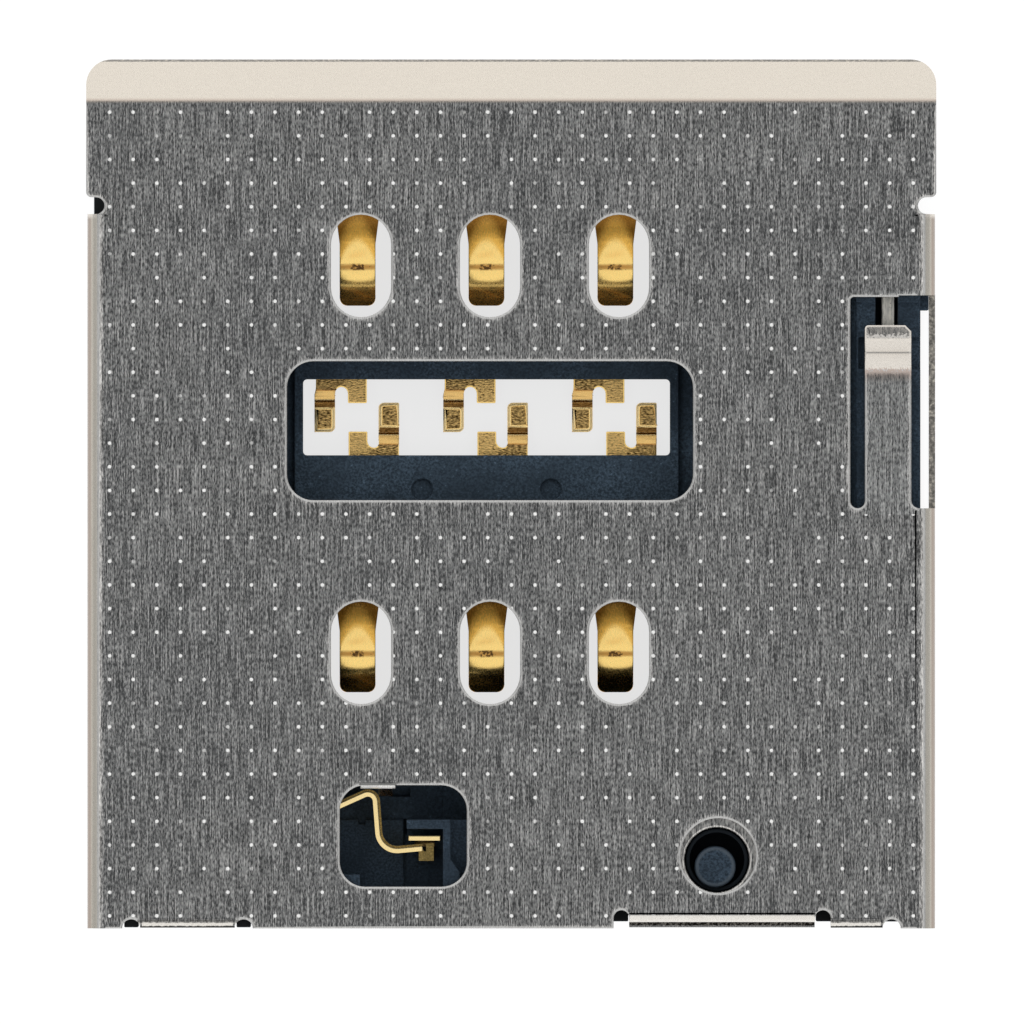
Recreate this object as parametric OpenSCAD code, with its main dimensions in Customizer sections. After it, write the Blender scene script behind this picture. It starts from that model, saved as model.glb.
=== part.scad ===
// Board-mounted socket for a slide-in card tray: folded steel shell, moulded base, six gold contacts,
// tray-detect switch, eject lever and push rod. Millimetres. Board face at z = 0, mouth towards +Y.

/* [Overall] */
// Width across the ears at the mouth
shell_w = 16.74; // [16.6:0.02:17.6]
// Length from the rear edge to the front of the lip
shell_l = 17.11; // [17:0.01:18]
// Height from the board to the top of the plate
shell_h = 1.4; // [1.38:0.01:1.6]

/* [Shell sheet] */
// Thickness of the steel sheet
sheet_t = 0.12; // [0.1:0.01:0.13]
// Inside radius of the side folds
side_fold_r = 0.22; // [0.14:0.01:0.24]
// How far the side walls stand in from the ears
wall_inset = 0.02; // [0:0.01:0.04]
// Length of the lip in plan
lip_l = 0.81; // [0.6:0.01:0.9]
// Upward tilt of the lip in degrees
lip_tilt = 22; // [12:1:30]
// Inside radius of the lip fold
lip_fold_r = 0.3; // [0.15:0.01:0.4]
// Corner radius of the lip
lip_corner_r = 0.5; // [0.2:0.01:0.6]

/* [Side walls] */
// Centre of the side notches behind the front edge
notch_back = 2.875; // [2.7:0.005:3]
// Width of the side notches
notch_w = 0.33; // [0.26:0.01:0.4]
// Depth of the side notches
notch_d = 0.36; // [0.3:0.01:0.42]
// Corner radius of the ears at the notches
ear_r = 0.1; // [0.05:0.01:0.15]
// Height of the wall edge above the board between the feet
wall_lift = 0.22; // [0.1:0.01:0.3]
// Length of a solder foot
foot_l = 1.1; // [0.8:0.05:1.4]
// Length of a latch window
latch_l = 1.2; // [0.9:0.05:1.4]
// Height of a latch window
latch_h = 0.34; // [0.3:0.01:0.38]
// Lower edge of the latch windows above the board
latch_z = 0.5; // [0.45:0.01:0.6]

/* [Contact windows] */
// Width of a contact window
slot_w = 1.185; // [1:0.005:1.3]
// Length of a contact window
slot_l = 2.02; // [1.8:0.01:2.2]
// Sideways offset of the shell windows from the contacts
slot_dx = 0.07; // [0:0.01:0.1]
// Forward offset of the shell windows from the contacts
slot_dy = 0.02; // [0:0.01:0.05]
// Width of the tail window
tail_win_w = 8; // [7.6:0.01:8.2]
// Length of the tail window
tail_win_l = 2.74; // [2.4:0.01:3]
// Corner radius of the tail window
tail_win_r = 0.52; // [0.3:0.01:0.7]
// Centre of the tail window ahead of the contact field
tail_win_dy = 0.584; // [0.5:0.002:0.7]

/* [Rear windows] */
// Width of the detect window
det_win_w = 2.505; // [2.3:0.005:2.6]
// Length of the detect window
det_win_l = 2; // [1.8:0.01:2.1]
// Corner radius of the detect window
det_win_r = 0.5; // [0.3:0.01:0.6]
// Width of the rolled edge in the detect window
stop_w = 0.68; // [0.5:0.01:0.8]
// Width of the stop leg at the rolled edge
stop_leg_w = 0.28; // [0.2:0.01:0.4]
// Drop of the stop leg below the middle of the sheet
stop_drop = 0.3; // [0.2:0.01:0.32]
// Radius of the hole over the lever pivot
pivot_hole_r = 0.74; // [0.7:0.01:0.8]

/* [Spring finger] */
// Width of the finger
finger_w = 0.912; // [0.8:0.002:1]
// Width of the slot at the left of the finger
finger_slot = 0.289; // [0.2:0.001:0.35]
// Root of the finger behind the front edge
finger_root = 8.836; // [8.6:0.002:9]
// Length of the finger in plan
finger_l = 3.604; // [3.4:0.002:3.7]
// Gap ahead of the finger tip
finger_gap = 0.56; // [0.4:0.01:0.62]
// Flat end of the finger
finger_flat = 0.246; // [0.2:0.002:0.3]
// Front slope of the finger fold in plan
finger_rise = 0.295; // [0.25:0.005:0.32]
// Rear slope of the finger fold in plan
finger_fall = 0.384; // [0.34:0.002:0.42]
// Depth of the finger fold
finger_dip = 0.24; // [0.16:0.01:0.26]

/* [Rear tabs] */
// Outside radius of the tab folds
tab_fold = 0.17; // [0.15:0.01:0.2]
// Width of the left tab
tab_left_w = 1.853; // [1.6:0.001:2]
// Middle of the left tab from the middle of the shell
tab_left_x = 6.377; // [6.2:0.001:6.5]
// Width of the main tab
tab_main_w = 3.658; // [3.2:0.002:3.8]
// Middle of the main tab from the middle of the shell
tab_main_x = 4.155; // [4:0.005:4.2]
// How far the main tab stands in from the rear edge
tab_main_in = 0.125; // [0.1:0.005:0.14]
// Width of the right tab
tab_right_w = 1.017; // [0.8:0.001:1.1]
// Radius of the half-round reliefs
relief_r = 0.18; // [0.14:0.01:0.2]
// Width of the long reliefs beside the main tab
relief_w = 0.31; // [0.24:0.01:0.34]
// Length of the long reliefs
relief_l = 0.36; // [0.3:0.01:0.42]

/* [Base] */
// Thickness of the floor
floor_t = 0.25; // [0.2:0.01:0.3]
// Top of the contact platform above the board
platform_z = 0.42; // [0.38:0.01:0.48]
// Width of the contact platform
platform_w = 7.58; // [7.4:0.01:7.8]
// Width of the left rail
rail_left_w = 0.5; // [0.4:0.01:0.6]
// Width of the right rail
rail_right_w = 1.27; // [1.2:0.01:1.32]
// Chamfer along the inner edge of the right rail
rail_lead = 0.13; // [0.05:0.01:0.16]
// Gap between the right rail and the shell wall
rail_right_gap = 0.17; // [0.12:0.01:0.2]
// Gap between the base and the plate above it
top_gap = 0.02; // [0.01:0.01:0.04]
// Gap between the base and the shell walls
wall_gap = 0.01; // [0.005:0.005:0.02]
// Drop of the right rail under the finger
rail_drop = 0.1; // [0.08:0.01:0.2]
// Front edge of the base behind the lip fold
base_front_in = 0.2; // [0.1:0.01:0.4]
// Rear edge of the base inside the rear edge of the shell
base_rear_in = 0.135; // [0.12:0.005:0.15]
// Front face of the rear block from the rear edge of the shell
block_l = 2.144; // [2:0.002:2.2]
// Top of the lever shelf above the board
shelf_z = 1; // [0.9:0.01:1.01]
// Width of the base opening for the tails
tail_open_w = 7.233; // [7.1:0.001:7.4]
// Length of the base opening for the tails
tail_open_l = 1.497; // [1.45:0.001:1.55]
// Radius of the ejector marks
mark_r = 0.21; // [0.15:0.01:0.3]

/* [Contacts] */
// Distance between contact columns
col_pitch = 2.54; // [2.5:0.01:2.58]
// Distance between contact rows
row_pitch = 7.62; // [7.56:0.01:7.68]
// Middle of the contact field to the left of the middle
field_left = 0.488; // [0.4:0.002:0.55]
// Middle of the contact field ahead of the middle
field_ahead = 0.663; // [0.6:0.001:0.7]
// Thickness of the contact strip
strip_t = 0.1; // [0.08:0.01:0.11]
// Height of the strip in the floor, at its middle
strip_z = 0.21; // [0.2:0.005:0.24]
// Height of the contact point above the board
apex_z = 1.02; // [0.9:0.01:1.08]
// Radius of the crease at the contact point
crown_r = 0.12; // [0.11:0.01:0.2]
// Slope at each side of the crease in degrees
crown_slope = 16; // [12:1:20]
// Length of the slope ahead of the crease
crown_front = 0.62; // [0.5:0.01:0.66]
// Length of the slope behind the crease
crown_rear = 0.3; // [0.22:0.01:0.34]
// Slope of the tongue in degrees
tongue_slope = 30; // [28:1:33]
// Slope of the free end in degrees
end_slope = 48; // [40:1:52]
// Free end of the tongue behind the contact point
tongue_end = 0.76; // [0.72:0.01:0.85]
// Width of the tongue at its root
tongue_root_w = 0.86; // [0.8:0.01:0.95]
// Width of the tongue at the contact point
tongue_w = 0.705; // [0.6:0.005:0.75]
// Width of the openings under the tongues
well_w = 1.4; // [1.3:0.01:1.44]
// Width of the frame legs beside a tongue
leg_w = 0.3; // [0.2:0.01:0.34]

/* [Tails] */
// Middle of the tails ahead of the contact field
tail_ahead = 0.85; // [0.8:0.01:0.9]
// Width of the tail plate
tail_plate_w = 0.994; // [0.9:0.002:1.05]
// Sideways offset of the tail plate from its column
tail_dx = 0.316; // [0.28:0.002:0.36]
// Width of the soldered arm
arm_w = 0.362; // [0.3:0.002:0.4]
// Width of the notch between arm and stub
fork_w = 0.258; // [0.2:0.002:0.28]
// Length of the soldered pad past the middle
pad_over = 0.291; // [0.25:0.001:0.32]
// Gap between a stub and the middle
stub_gap = 0.28; // [0.25:0.01:0.32]

/* [Detect switch] */
// Thickness of the switch strips
det_t = 0.1; // [0.08:0.005:0.11]
// Lower edge of the switch strips above the board
det_low = 0.45; // [0.42:0.01:0.5]
// Upper edge of the switch strips above the board
det_high = 0.93; // [0.85:0.01:0.94]
// Middle of the fixed bar to the left of the middle
det_left = 1.707; // [1.66:0.001:1.75]
// Middle of the fixed bar from the rear edge of the shell
det_in = 1.775; // [1.74:0.005:1.8]
// Width of the fixed bar
bar_w = 0.636; // [0.56:0.002:0.65]
// Left shift of the spring anchor from the bar
anchor_left = 2.9; // [2.8:0.02:3.2]

/* [Lever and rod] */
// Middle of the rod inside the ear edge
rod_in = 0.948; // [0.93:0.002:0.97]
// Thickness of the rod
rod_t = 0.254; // [0.2:0.002:0.28]
// Lower edge of the rod above the board
rod_low = 0.45; // [0.4:0.01:0.5]
// Height of the rod web
rod_web_h = 0.53; // [0.4:0.01:0.54]
// Stroke of the rod
rod_stroke = 1.4; // [1.2:0.02:1.5]
// Width of the rod head
head_w = 0.72; // [0.5:0.01:0.74]
// Thickness of the rod head
head_t = 0.3; // [0.2:0.01:0.4]
// Gap between rod and channel at each side
rod_gap = 0.093; // [0.05:0.001:0.1]
// Distance from rod to pivot, across the socket
lever_reach = 3.37; // [3.3:0.01:3.45]
// Pivot of the lever from the rear edge of the shell
pivot_in = 1.349; // [1.3:0.001:1.4]
// Thickness of the lever
lever_t = 0.2; // [0.15:0.01:0.22]
// Gap between the lever and the shelf under it
lever_gap = 0.03; // [0.02:0.005:0.04]
// Radius of the lever bore
lever_bore_r = 0.635; // [0.6:0.005:0.66]
// Radial gap between lever bore and pivot boss
pivot_gap = 0.025; // [0.015:0.005:0.04]
// Radius of the lever hub
hub_r = 0.95; // [0.88:0.01:0.98]
// Radius of the lever nose at the rod
nose_r = 0.25; // [0.2:0.01:0.28]
// Radius of the lever tip at the tray
tip_r = 0.3; // [0.2:0.01:0.36]
// Reach of the tip, across the socket
tip_reach = 3.45; // [3.2:0.01:3.7]
// How far the tip lies ahead of the pivot
tip_ahead = 0.535; // [0.45:0.005:0.6]
// Gap between the rod end and the lever nose
nose_gap = 0.02; // [0.015:0.005:0.04]
// Radius of the pip on the pivot boss
pip_r = 0.41; // [0.35:0.01:0.44]

/* [Hidden] */
$fn = 64;

// Colours of the preview
steel = "#8c8d8b";
plastic = "#232b36";
gold = "#d6a84c";
lever_steel = "#a3a4a0";
rod_steel = "#97989a";

// Limits of the shell
half_w = shell_w / 2;
front_y = shell_l / 2;
rear_y = -shell_l / 2;
wall_out = half_w - wall_inset;
wall_in = wall_out - sheet_t;
plate_z = shell_h - sheet_t;
mid_z = shell_h - sheet_t / 2;
lip_y = front_y - lip_l;
notch_y = front_y - notch_back;
wall_front = notch_y - notch_w / 2;
far = 40;

// Contact field
field_x = -field_left;
field_y = field_ahead;
front_row = field_y + row_pitch / 2;
rear_row = field_y - row_pitch / 2;
tail_y = field_y + tail_ahead;
win_x = field_x + slot_dx;

// Contact tongue, measured from the contact point
crown_z = apex_z - strip_t / 2 + crown_r * (1 / cos(crown_slope) - 1);
front_knee_z = crown_z - crown_front * tan(crown_slope);
rear_knee_z = crown_z - crown_rear * tan(crown_slope);
root_y = crown_front + (front_knee_z - strip_z) / tan(tongue_slope);
end_z = rear_knee_z - (tongue_end + 0.05 - crown_rear) * tan(end_slope);
well_front = root_y + 0.14;
well_rear = tongue_end + 0.34;
frame_front = well_front + 0.35;
frame_rear = well_rear + 0.35;

// Rod, lever and pivot
rod_x = half_w - rod_in;
rod_high = rod_low + rod_web_h;
pivot = [rod_x - lever_reach, rear_y + pivot_in];
lever_low = shelf_z + lever_gap;
lever_high = lever_low + lever_t;
lever_swing = 2 * atan(rod_stroke / 2 / lever_reach);
nose = pivot + [lever_reach, rod_stroke / 2];
tip = pivot + [-tip_reach, tip_ahead];
rod_rear = nose.y + nose_r + nose_gap;
boss_r = lever_bore_r - pivot_gap;
boss_z = lever_low + 0.4 * lever_t;
boss_wall = 0.07;
channel_w = rod_t + 2 * rod_gap;
channel_low = rod_low - 0.03;

// Limits of the base
base_left = -wall_in + wall_gap;
base_right = wall_in - rail_right_gap;
base_lug = wall_in - wall_gap;
base_front = lip_y - base_front_in;
base_rear = rear_y + base_rear_in;
base_top = plate_z - top_gap;
rail_left = base_left + rail_left_w;
rail_right = base_right - rail_right_w;
block_front = rear_y + block_l;
rail_rear = nose.y + nose_r + 0.28;
head_front = base_front - 0.12;
head_pocket = head_front - head_t - rod_stroke - 0.1;
finger_left = rod_x - finger_w / 2;
finger_right = rod_x + finger_w / 2;
finger_base = front_y - finger_root;
finger_tip = finger_base + finger_l;
finger_win = finger_tip + finger_gap;
fold_front = finger_tip - finger_flat;
fold_low = fold_front - finger_rise;
fold_rear = fold_low - finger_fall;
fold_slope = finger_dip / finger_fall;

// Detect switch
det = [-det_left, rear_y + det_in];
det_win = [-2.126, rear_y + 1.82];
stop_x = det_win.x - 0.84;
stop_y = det_win.y + det_win_l / 2;
stop_fold = 0.075;

// Feet and latches along the walls
feet_y = [wall_front - 0.95, -0.9, rear_y + 1.15];
latch_left = [2.3, -3.6];
latch_right = [wall_front - 1.05, -2.6, -5.2];

// Points along an arc
function arc(c, r, a0, a1, n = 10) =
    [for (i = [0:n]) c + r * [cos(a0 + (a1 - a0) * i / n), sin(a0 + (a1 - a0) * i / n)]];

// Outline of a rounded rectangle about the origin
function round_rect(w, l, r, n = 10) = concat(
    arc([w / 2 - r, l / 2 - r], r, 0, 90, n),
    arc([r - w / 2, l / 2 - r], r, 90, 180, n),
    arc([r - w / 2, r - l / 2], r, 180, 270, n),
    arc([w / 2 - r, r - l / 2], r, 270, 360, n)
);

// Outline of an obround that is long in Y
function obround(w, l, n = 16) = concat(
    arc([0, l / 2 - w / 2], w / 2, 0, 180, n),
    arc([0, w / 2 - l / 2], w / 2, 180, 360, n)
);

// Outline of the band that wraps two circles
function wrap(c1, r1, c2, r2, n = 14) =
    let (v = c2 - c1, a = atan2(v.y, v.x), b = acos((r1 - r2) / norm(v)))
    concat(arc(c1, r1, a + b, a + 360 - b, n), arc(c2, r2, a + 360 - b, a + 360 + b, n));

// Bent strip: a path of [x, y, bend radius] becomes an outline of constant thickness
function unit(v) = v / norm(v);
function flat(p) = [p[0], p[1]];
function left(v) = [-v.y, v.x];
function spin(v, a) = [v.x * cos(a) - v.y * sin(a), v.x * sin(a) + v.y * cos(a)];
function turn(a, b) = atan2(a.x * b.y - a.y * b.x, a.x * b.x + a.y * b.y);
function bend(a, p, b, r, off, n) =
    let (d0 = unit(p - a), d1 = unit(b - p), w = turn(d0, d1), s = sign(w))
    let (t1 = p - d0 * r * tan(abs(w) / 2), c = t1 + s * r * left(d0))
    [for (k = [0:n]) c - s * (r - s * off) * spin(left(d0), w * k / n)];
function side(path, off, n) = [for (i = [0:len(path) - 1]) each
    i == 0 ? [flat(path[0]) + off * left(unit(flat(path[1]) - flat(path[0])))] :
    i == len(path) - 1 ? [flat(path[i]) + off * left(unit(flat(path[i]) - flat(path[i - 1])))] :
    bend(flat(path[i - 1]), flat(path[i]), flat(path[i + 1]), path[i][2], off, n)];
function backwards(v) = [for (i = [len(v) - 1:-1:0]) v[i]];
function strip(path, t, n = 8) = concat(side(path, t / 2, n), backwards(side(path, -t / 2, n)));

// Solids from outlines: a slab, a bar along X from a Y-Z outline, a bar along Y from an X-Z outline
module slab(z0, z1) {
    translate([0, 0, z0]) linear_extrude(z1 - z0) children();
}

module along_x(x0, x1) {
    translate([x0, 0, 0]) rotate([90, 0, 90]) linear_extrude(x1 - x0) children();
}

module along_y(y0, y1) {
    translate([0, y1, 0]) rotate([90, 0, 0]) linear_extrude(y1 - y0) children();
}

module rect(x0, x1, y0, y1) {
    translate([x0, y0]) square([x1 - x0, y1 - y0]);
}

// Shell: folded channel behind the notches
module shell_channel() {
    x = wall_out - sheet_t / 2;
    r = side_fold_r + sheet_t / 2;
    along_y(rear_y, wall_front)
        polygon(strip([[-x, 0], [-x, mid_z, r], [x, mid_z, r], [x, 0]], sheet_t, 10));
}

// Shell: flat ears and flared lip ahead of the notches
module shell_front() {
    end_y = front_y - sheet_t / 2 * sin(lip_tilt);
    rise = (end_y - lip_y) * tan(lip_tilt);
    r = lip_fold_r + sheet_t / 2;
    path = [[wall_front, mid_z], [lip_y, mid_z, r], [end_y, mid_z + rise]];
    plan = concat(
        [[-half_w, wall_front], [half_w, wall_front]],
        arc([half_w - lip_corner_r, front_y - lip_corner_r], lip_corner_r, 0, 90),
        arc([lip_corner_r - half_w, front_y - lip_corner_r], lip_corner_r, 90, 180)
    );
    intersection() {
        along_x(-half_w, half_w) polygon(strip(path, sheet_t));
        slab(0, far) polygon(plan);
    }
}

// Shell: plan of one side notch at the right edge
module notch_plan() {
    r = notch_w / 2;
    c = half_w - notch_d + r;
    ear_y = notch_y + r;
    polygon(concat(
        arc([c, notch_y], r, 90, 270),
        [[far, notch_y - r], [far, ear_y + ear_r], [half_w, ear_y + ear_r]],
        arc([half_w - ear_r, ear_y + ear_r], ear_r, 0, -90, 6)
    ));
}

// Shell: slots round the finger and the cut side fold
module finger_plan() {
    x0 = finger_left - finger_slot;
    r = finger_slot / 2;
    cr = 0.16;
    step = rod_x + 0.21;
    polygon(concat(
        [[finger_left, finger_base + r], [finger_left, fold_rear - 0.12]],
        [[finger_right, fold_rear - 0.12], [finger_right, finger_base + cr]],
        arc([finger_right + cr, finger_base + cr], cr, 180, 270, 6),
        [[far, finger_base], [far, finger_win + 0.03], [step, finger_win + 0.03], [step, finger_win]],
        arc([x0 + 0.07, finger_win - 0.07], 0.07, 90, 180, 6),
        arc([x0 + r, finger_base + r], r, 180, 360, 12)
    ));
}

// Shell: the formed end of the finger
module finger_end() {
    y0 = fold_rear - 0.12;
    z = mid_z;
    rise = finger_rise * fold_slope;
    path = [
        [y0, z],
        [fold_rear, z, 0.36],
        [fold_low, z - finger_dip, 0.09],
        [fold_front, z - finger_dip + rise, 0.1],
        [finger_tip, z - finger_dip + rise]
    ];
    plan = concat(
        [[finger_left, y0], [finger_right, y0], [finger_right, finger_tip - 0.12]],
        [[finger_right - 0.12, finger_tip]],
        arc([finger_left + 0.07, finger_tip - 0.07], 0.07, 90, 180, 6)
    );
    intersection() {
        along_x(finger_left, finger_right) polygon(strip(path, sheet_t));
        slab(0, far) polygon(plan);
    }
}

// Shell: one rear tab, its fold starting at the plate
module rear_tab(x, w, inset, low) {
    y = rear_y + inset + sheet_t / 2;
    r = tab_fold - sheet_t / 2;
    along_x(x - w / 2, x + w / 2)
        polygon(strip([[y + r, mid_z], [y, mid_z, r], [y, low]], sheet_t));
}

// Shell: main rear tab with its turned-out solder foot
module main_tab() {
    y = rear_y + tab_main_in + sheet_t / 2;
    r = tab_fold - sheet_t / 2;
    path = [[y + r, mid_z], [y, mid_z, r], [y, sheet_t / 2, 0.075], [rear_y + 0.01, sheet_t / 2]];
    along_x(tab_main_x - tab_main_w / 2, tab_main_x + tab_main_w / 2) polygon(strip(path, sheet_t));
}

// Shell: plate cut away behind a tab fold
module tab_cut(x, w, inset) {
    rect(x - w / 2, x + w / 2, -far, rear_y + inset + tab_fold);
}

// Shell: rolled edge at the front of the detect window, with the bent stop leg
module stop_tab() {
    knee = [stop_y + 0.023, mid_z, 0.07];
    start = [stop_y + stop_fold + 0.01, mid_z];
    roll = [start, knee, [stop_y - 0.007, mid_z - 0.1]];
    leg = [start, knee, [stop_y - 0.16, mid_z - stop_drop]];
    along_x(stop_x, stop_x + stop_w) polygon(strip(roll, sheet_t));
    along_x(stop_x + stop_w - stop_leg_w - 0.05, stop_x + stop_w - 0.05) polygon(strip(leg, sheet_t));
}

// Shell: everything punched through the plate
module plate_cuts() {
    right_x = tab_main_x + tab_main_w / 2 + relief_w;
    for (i = [-1:1], y = [front_row, rear_row])
        translate([win_x + i * col_pitch, y + slot_dy]) polygon(obround(slot_w, slot_l));
    translate([win_x, field_y + tail_win_dy]) polygon(round_rect(tail_win_w, tail_win_l, tail_win_r));
    translate(det_win) polygon(round_rect(det_win_w, det_win_l, det_win_r));
    rect(stop_x, stop_x + stop_w, stop_y - 0.1, stop_y + stop_fold);
    translate(pivot + [0.025, 0.084]) circle(pivot_hole_r);
    notch_plan();
    mirror([1, 0]) notch_plan();
    finger_plan();
    for (s = [-1, 1])
        translate([-tab_left_x + s * (tab_left_w / 2 + relief_r), rear_y]) circle(relief_r);
    translate([right_x + tab_right_w + relief_r, rear_y]) circle(relief_r);
    for (s = [-1, 1])
        translate([tab_main_x + s * (tab_main_w + relief_w) / 2, rear_y])
            polygon(obround(relief_w, 2 * relief_l));
    tab_cut(-tab_left_x, tab_left_w, 0.01);
    tab_cut(tab_main_x, tab_main_w, tab_main_in);
    tab_cut(right_x + tab_right_w / 2, tab_right_w, 0.01);
}

// Shell: wall edges between the feet, and the latch windows
module wall_cuts() {
    slab(-1, wall_lift) difference() {
        rect(-far, far, -far, far);
        for (y = feet_y) rect(-far, far, y - foot_l / 2, y + foot_l / 2);
    }
    for (y = latch_left)
        translate([-half_w - 1, y - latch_l / 2, latch_z]) cube([1.5, latch_l, latch_h]);
    for (y = latch_right)
        translate([half_w - 0.5, y - latch_l / 2, latch_z]) cube([1.5, latch_l, latch_h]);
}

module shell() {
    right_x = tab_main_x + tab_main_w / 2 + relief_w;
    color(steel) {
        difference() {
            shell_channel();
            slab(shell_h - sheet_t - side_fold_r, far) plate_cuts();
            wall_cuts();
        }
        difference() {
            shell_front();
            slab(0, far) plate_cuts();
        }
        finger_end();
        rear_tab(-tab_left_x, tab_left_w, 0.01, 0.4);
        rear_tab(right_x + tab_right_w / 2, tab_right_w, 0.01, 0.4);
        main_tab();
        stop_tab();
    }
}

// Contact: plan of the tongue, the contact point at the origin and the root towards +Y
module tongue_plan() {
    w = tongue_w / 2;
    r = 0.15;
    y = well_front + 0.2;
    root = tongue_root_w / 2;
    polygon(concat(
        [[root, y], [-root, y], [-root, 1.05], [-w, 0.45]],
        arc([r - w, r - tongue_end], r, 180, 270, 5),
        arc([w - r, r - tongue_end], r, 270, 360, 5),
        [[w, 0.45], [root, 1.05]]
    ));
}

// Contact: tongue with its crown
module tongue() {
    path = [
        [well_front + 0.2, strip_z],
        [root_y, strip_z, 0.3],
        [crown_front, front_knee_z, 0.6],
        [0, crown_z, crown_r],
        [-crown_rear, rear_knee_z, 0.3],
        [-tongue_end - 0.05, end_z]
    ];
    intersection() {
        along_x(-tongue_root_w / 2, tongue_root_w / 2) polygon(strip(path, strip_t, 10));
        slab(-far, far) tongue_plan();
    }
}

// Contact: forked tail at the middle of the opening, its flat plate reaching to a given end
module tail_plan(reach) {
    x0 = -tail_dx - tail_plate_w / 2;
    x1 = x0 + tail_plate_w;
    a = x0 + arm_w;
    b = a + fork_w;
    fork = tail_open_l / 2 - 0.15;
    polygon(concat(
        [[x0, reach], [x0, 0.52], [a, 0.52]],
        arc([(a + b) / 2, fork - fork_w / 2], fork_w / 2, 180, 0, 8),
        [[b, stub_gap], [x1, stub_gap], [x1, reach]]
    ));
}

module tail_arm() {
    x0 = -tail_dx - tail_plate_w / 2;
    pad_z = strip_t / 2;
    path = [[0.6, strip_z], [0.42, strip_z, 0.207], [0.286, pad_z, 0.2], [-pad_over, pad_z]];
    plan = concat(
        [[x0, 0.52], [x0, -pad_over]],
        arc([x0 + arm_w - 0.1, 0.1 - pad_over], 0.1, 270, 360, 5),
        [[x0 + arm_w, 0.52]]
    );
    intersection() {
        along_x(x0, x0 + arm_w) polygon(strip(path, strip_t, 8));
        slab(-far, far) polygon(plan);
    }
}

// Contact: frame of the front row, the contact point at the origin
module front_frame_plan() {
    outer = well_w / 2 + 0.05 + leg_w;
    inner = well_w / 2 + 0.05;
    difference() {
        rect(-outer, outer, -frame_rear, frame_front);
        rect(-inner, inner, -well_rear - 0.06, well_front + 0.06);
    }
    rect(-tongue_root_w / 2, tongue_root_w / 2, well_front, frame_front);
}

// Contact: plate of the rear row, the contact point at the origin
module rear_frame_plan() {
    rect(-0.5, tail_dx + tail_plate_w / 2, well_front, well_front + 0.6);
}

module front_metal() {
    back = front_row - frame_rear + 0.1 - tail_y;
    slab(strip_z - strip_t / 2, strip_z + strip_t / 2) {
        translate([0, front_row]) front_frame_plan();
        translate([0, tail_y]) tail_plan(back);
    }
}

module rear_metal() {
    back = tail_y - (rear_row + well_front + 0.3);
    slab(strip_z - strip_t / 2, strip_z + strip_t / 2) {
        translate([0, rear_row]) rear_frame_plan();
        translate([0, tail_y]) rotate(180) tail_plan(back);
    }
}

module contact_front(i) {
    color(gold) translate([field_x + i * col_pitch, 0, 0]) {
        front_metal();
        translate([0, front_row, 0]) tongue();
        translate([0, tail_y, 0]) tail_arm();
    }
}

module contact_rear(i) {
    color(gold) translate([field_x + i * col_pitch, 0, 0]) {
        rear_metal();
        translate([0, rear_row, 0]) tongue();
        translate([0, tail_y, 0]) rotate(180) tail_arm();
    }
}

// Detect switch: moving strip on edge with its folded flag and its soldered foot
module detect_spring() {
    foot_x = det.x - anchor_left;
    foot_y = det.y - 1.3;
    hump = [det.x - 0.986, det.y + 0.944];
    path = [
        [foot_x, foot_y],
        [foot_x, hump.y - 0.449 * (hump.x - foot_x), 0.25],
        [hump.x, hump.y, 0.15],
        [det.x - 0.893, det.y - 0.281, 0.38],
        [det.x - 0.037, det.y - 0.202]
    ];
    rib = [[hump.x - 1.2, hump.y - 0.449 * 1.2], path[2], path[3], path[4]];
    flag = [
        [-0.116, -0.45], [0.18, -0.45], [0.18, -0.107], [0.028, -0.107],
        [0.028, -0.266], [-0.01, -0.266], [-0.05, -0.2], [-0.116, -0.2]
    ];
    color(gold) {
        slab(det_low, det_high) polygon(strip(path, det_t, 10));
        slab(det_low, det_low + 0.08)
            polygon(concat(side(rib, det_t / 2 + 0.04, 10), backwards(side(rib, -det_t / 2, 10))));
        slab(det_low, det_low + det_t) translate(det) polygon(flag);
        slab(0, det_high) rect(foot_x - det_t / 2, foot_x + det_t / 2, foot_y, foot_y + 0.4);
        slab(0, det_t) rect(foot_x - det_t / 2, foot_x + 0.36, rear_y + 0.03, foot_y + 0.4);
    }
}

// Detect switch: fixed bar on edge, its leg turned to the rear under the floor
module detect_terminal() {
    leg = 0.2;
    path = [[det.y, det_high], [det.y, det_t / 2, 0.12], [rear_y + 0.03, det_t / 2]];
    color(gold) {
        along_x(det.x - leg, det.x + leg) polygon(strip(path, det_t));
        along_x(det.x - bar_w / 2, det.x + bar_w / 2)
            rect(det.y - det_t / 2, det.y + det_t / 2, 0.3, det_high);
    }
}

// Base: solid blocks before the cuts
module base_floor() {
    slab(0, floor_t) polygon([
        [base_left, base_rear], [base_right, base_rear], [base_right, wall_front - 0.1],
        [base_right - 0.12, wall_front - 0.1], [base_right - 0.12, base_front], [base_left, base_front]
    ]);
}

module base_platform() {
    y0 = rear_row - well_rear - 0.7;
    y1 = front_row + frame_front + 0.2;
    z = floor_t - 0.05;
    along_x(field_x - platform_w / 2, field_x + platform_w / 2)
        polygon([
            [y0, z], [y0, floor_t], [y0 + 0.2, platform_z],
            [y1 - 0.3, platform_z], [y1, floor_t], [y1, z]
        ]);
}

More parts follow.
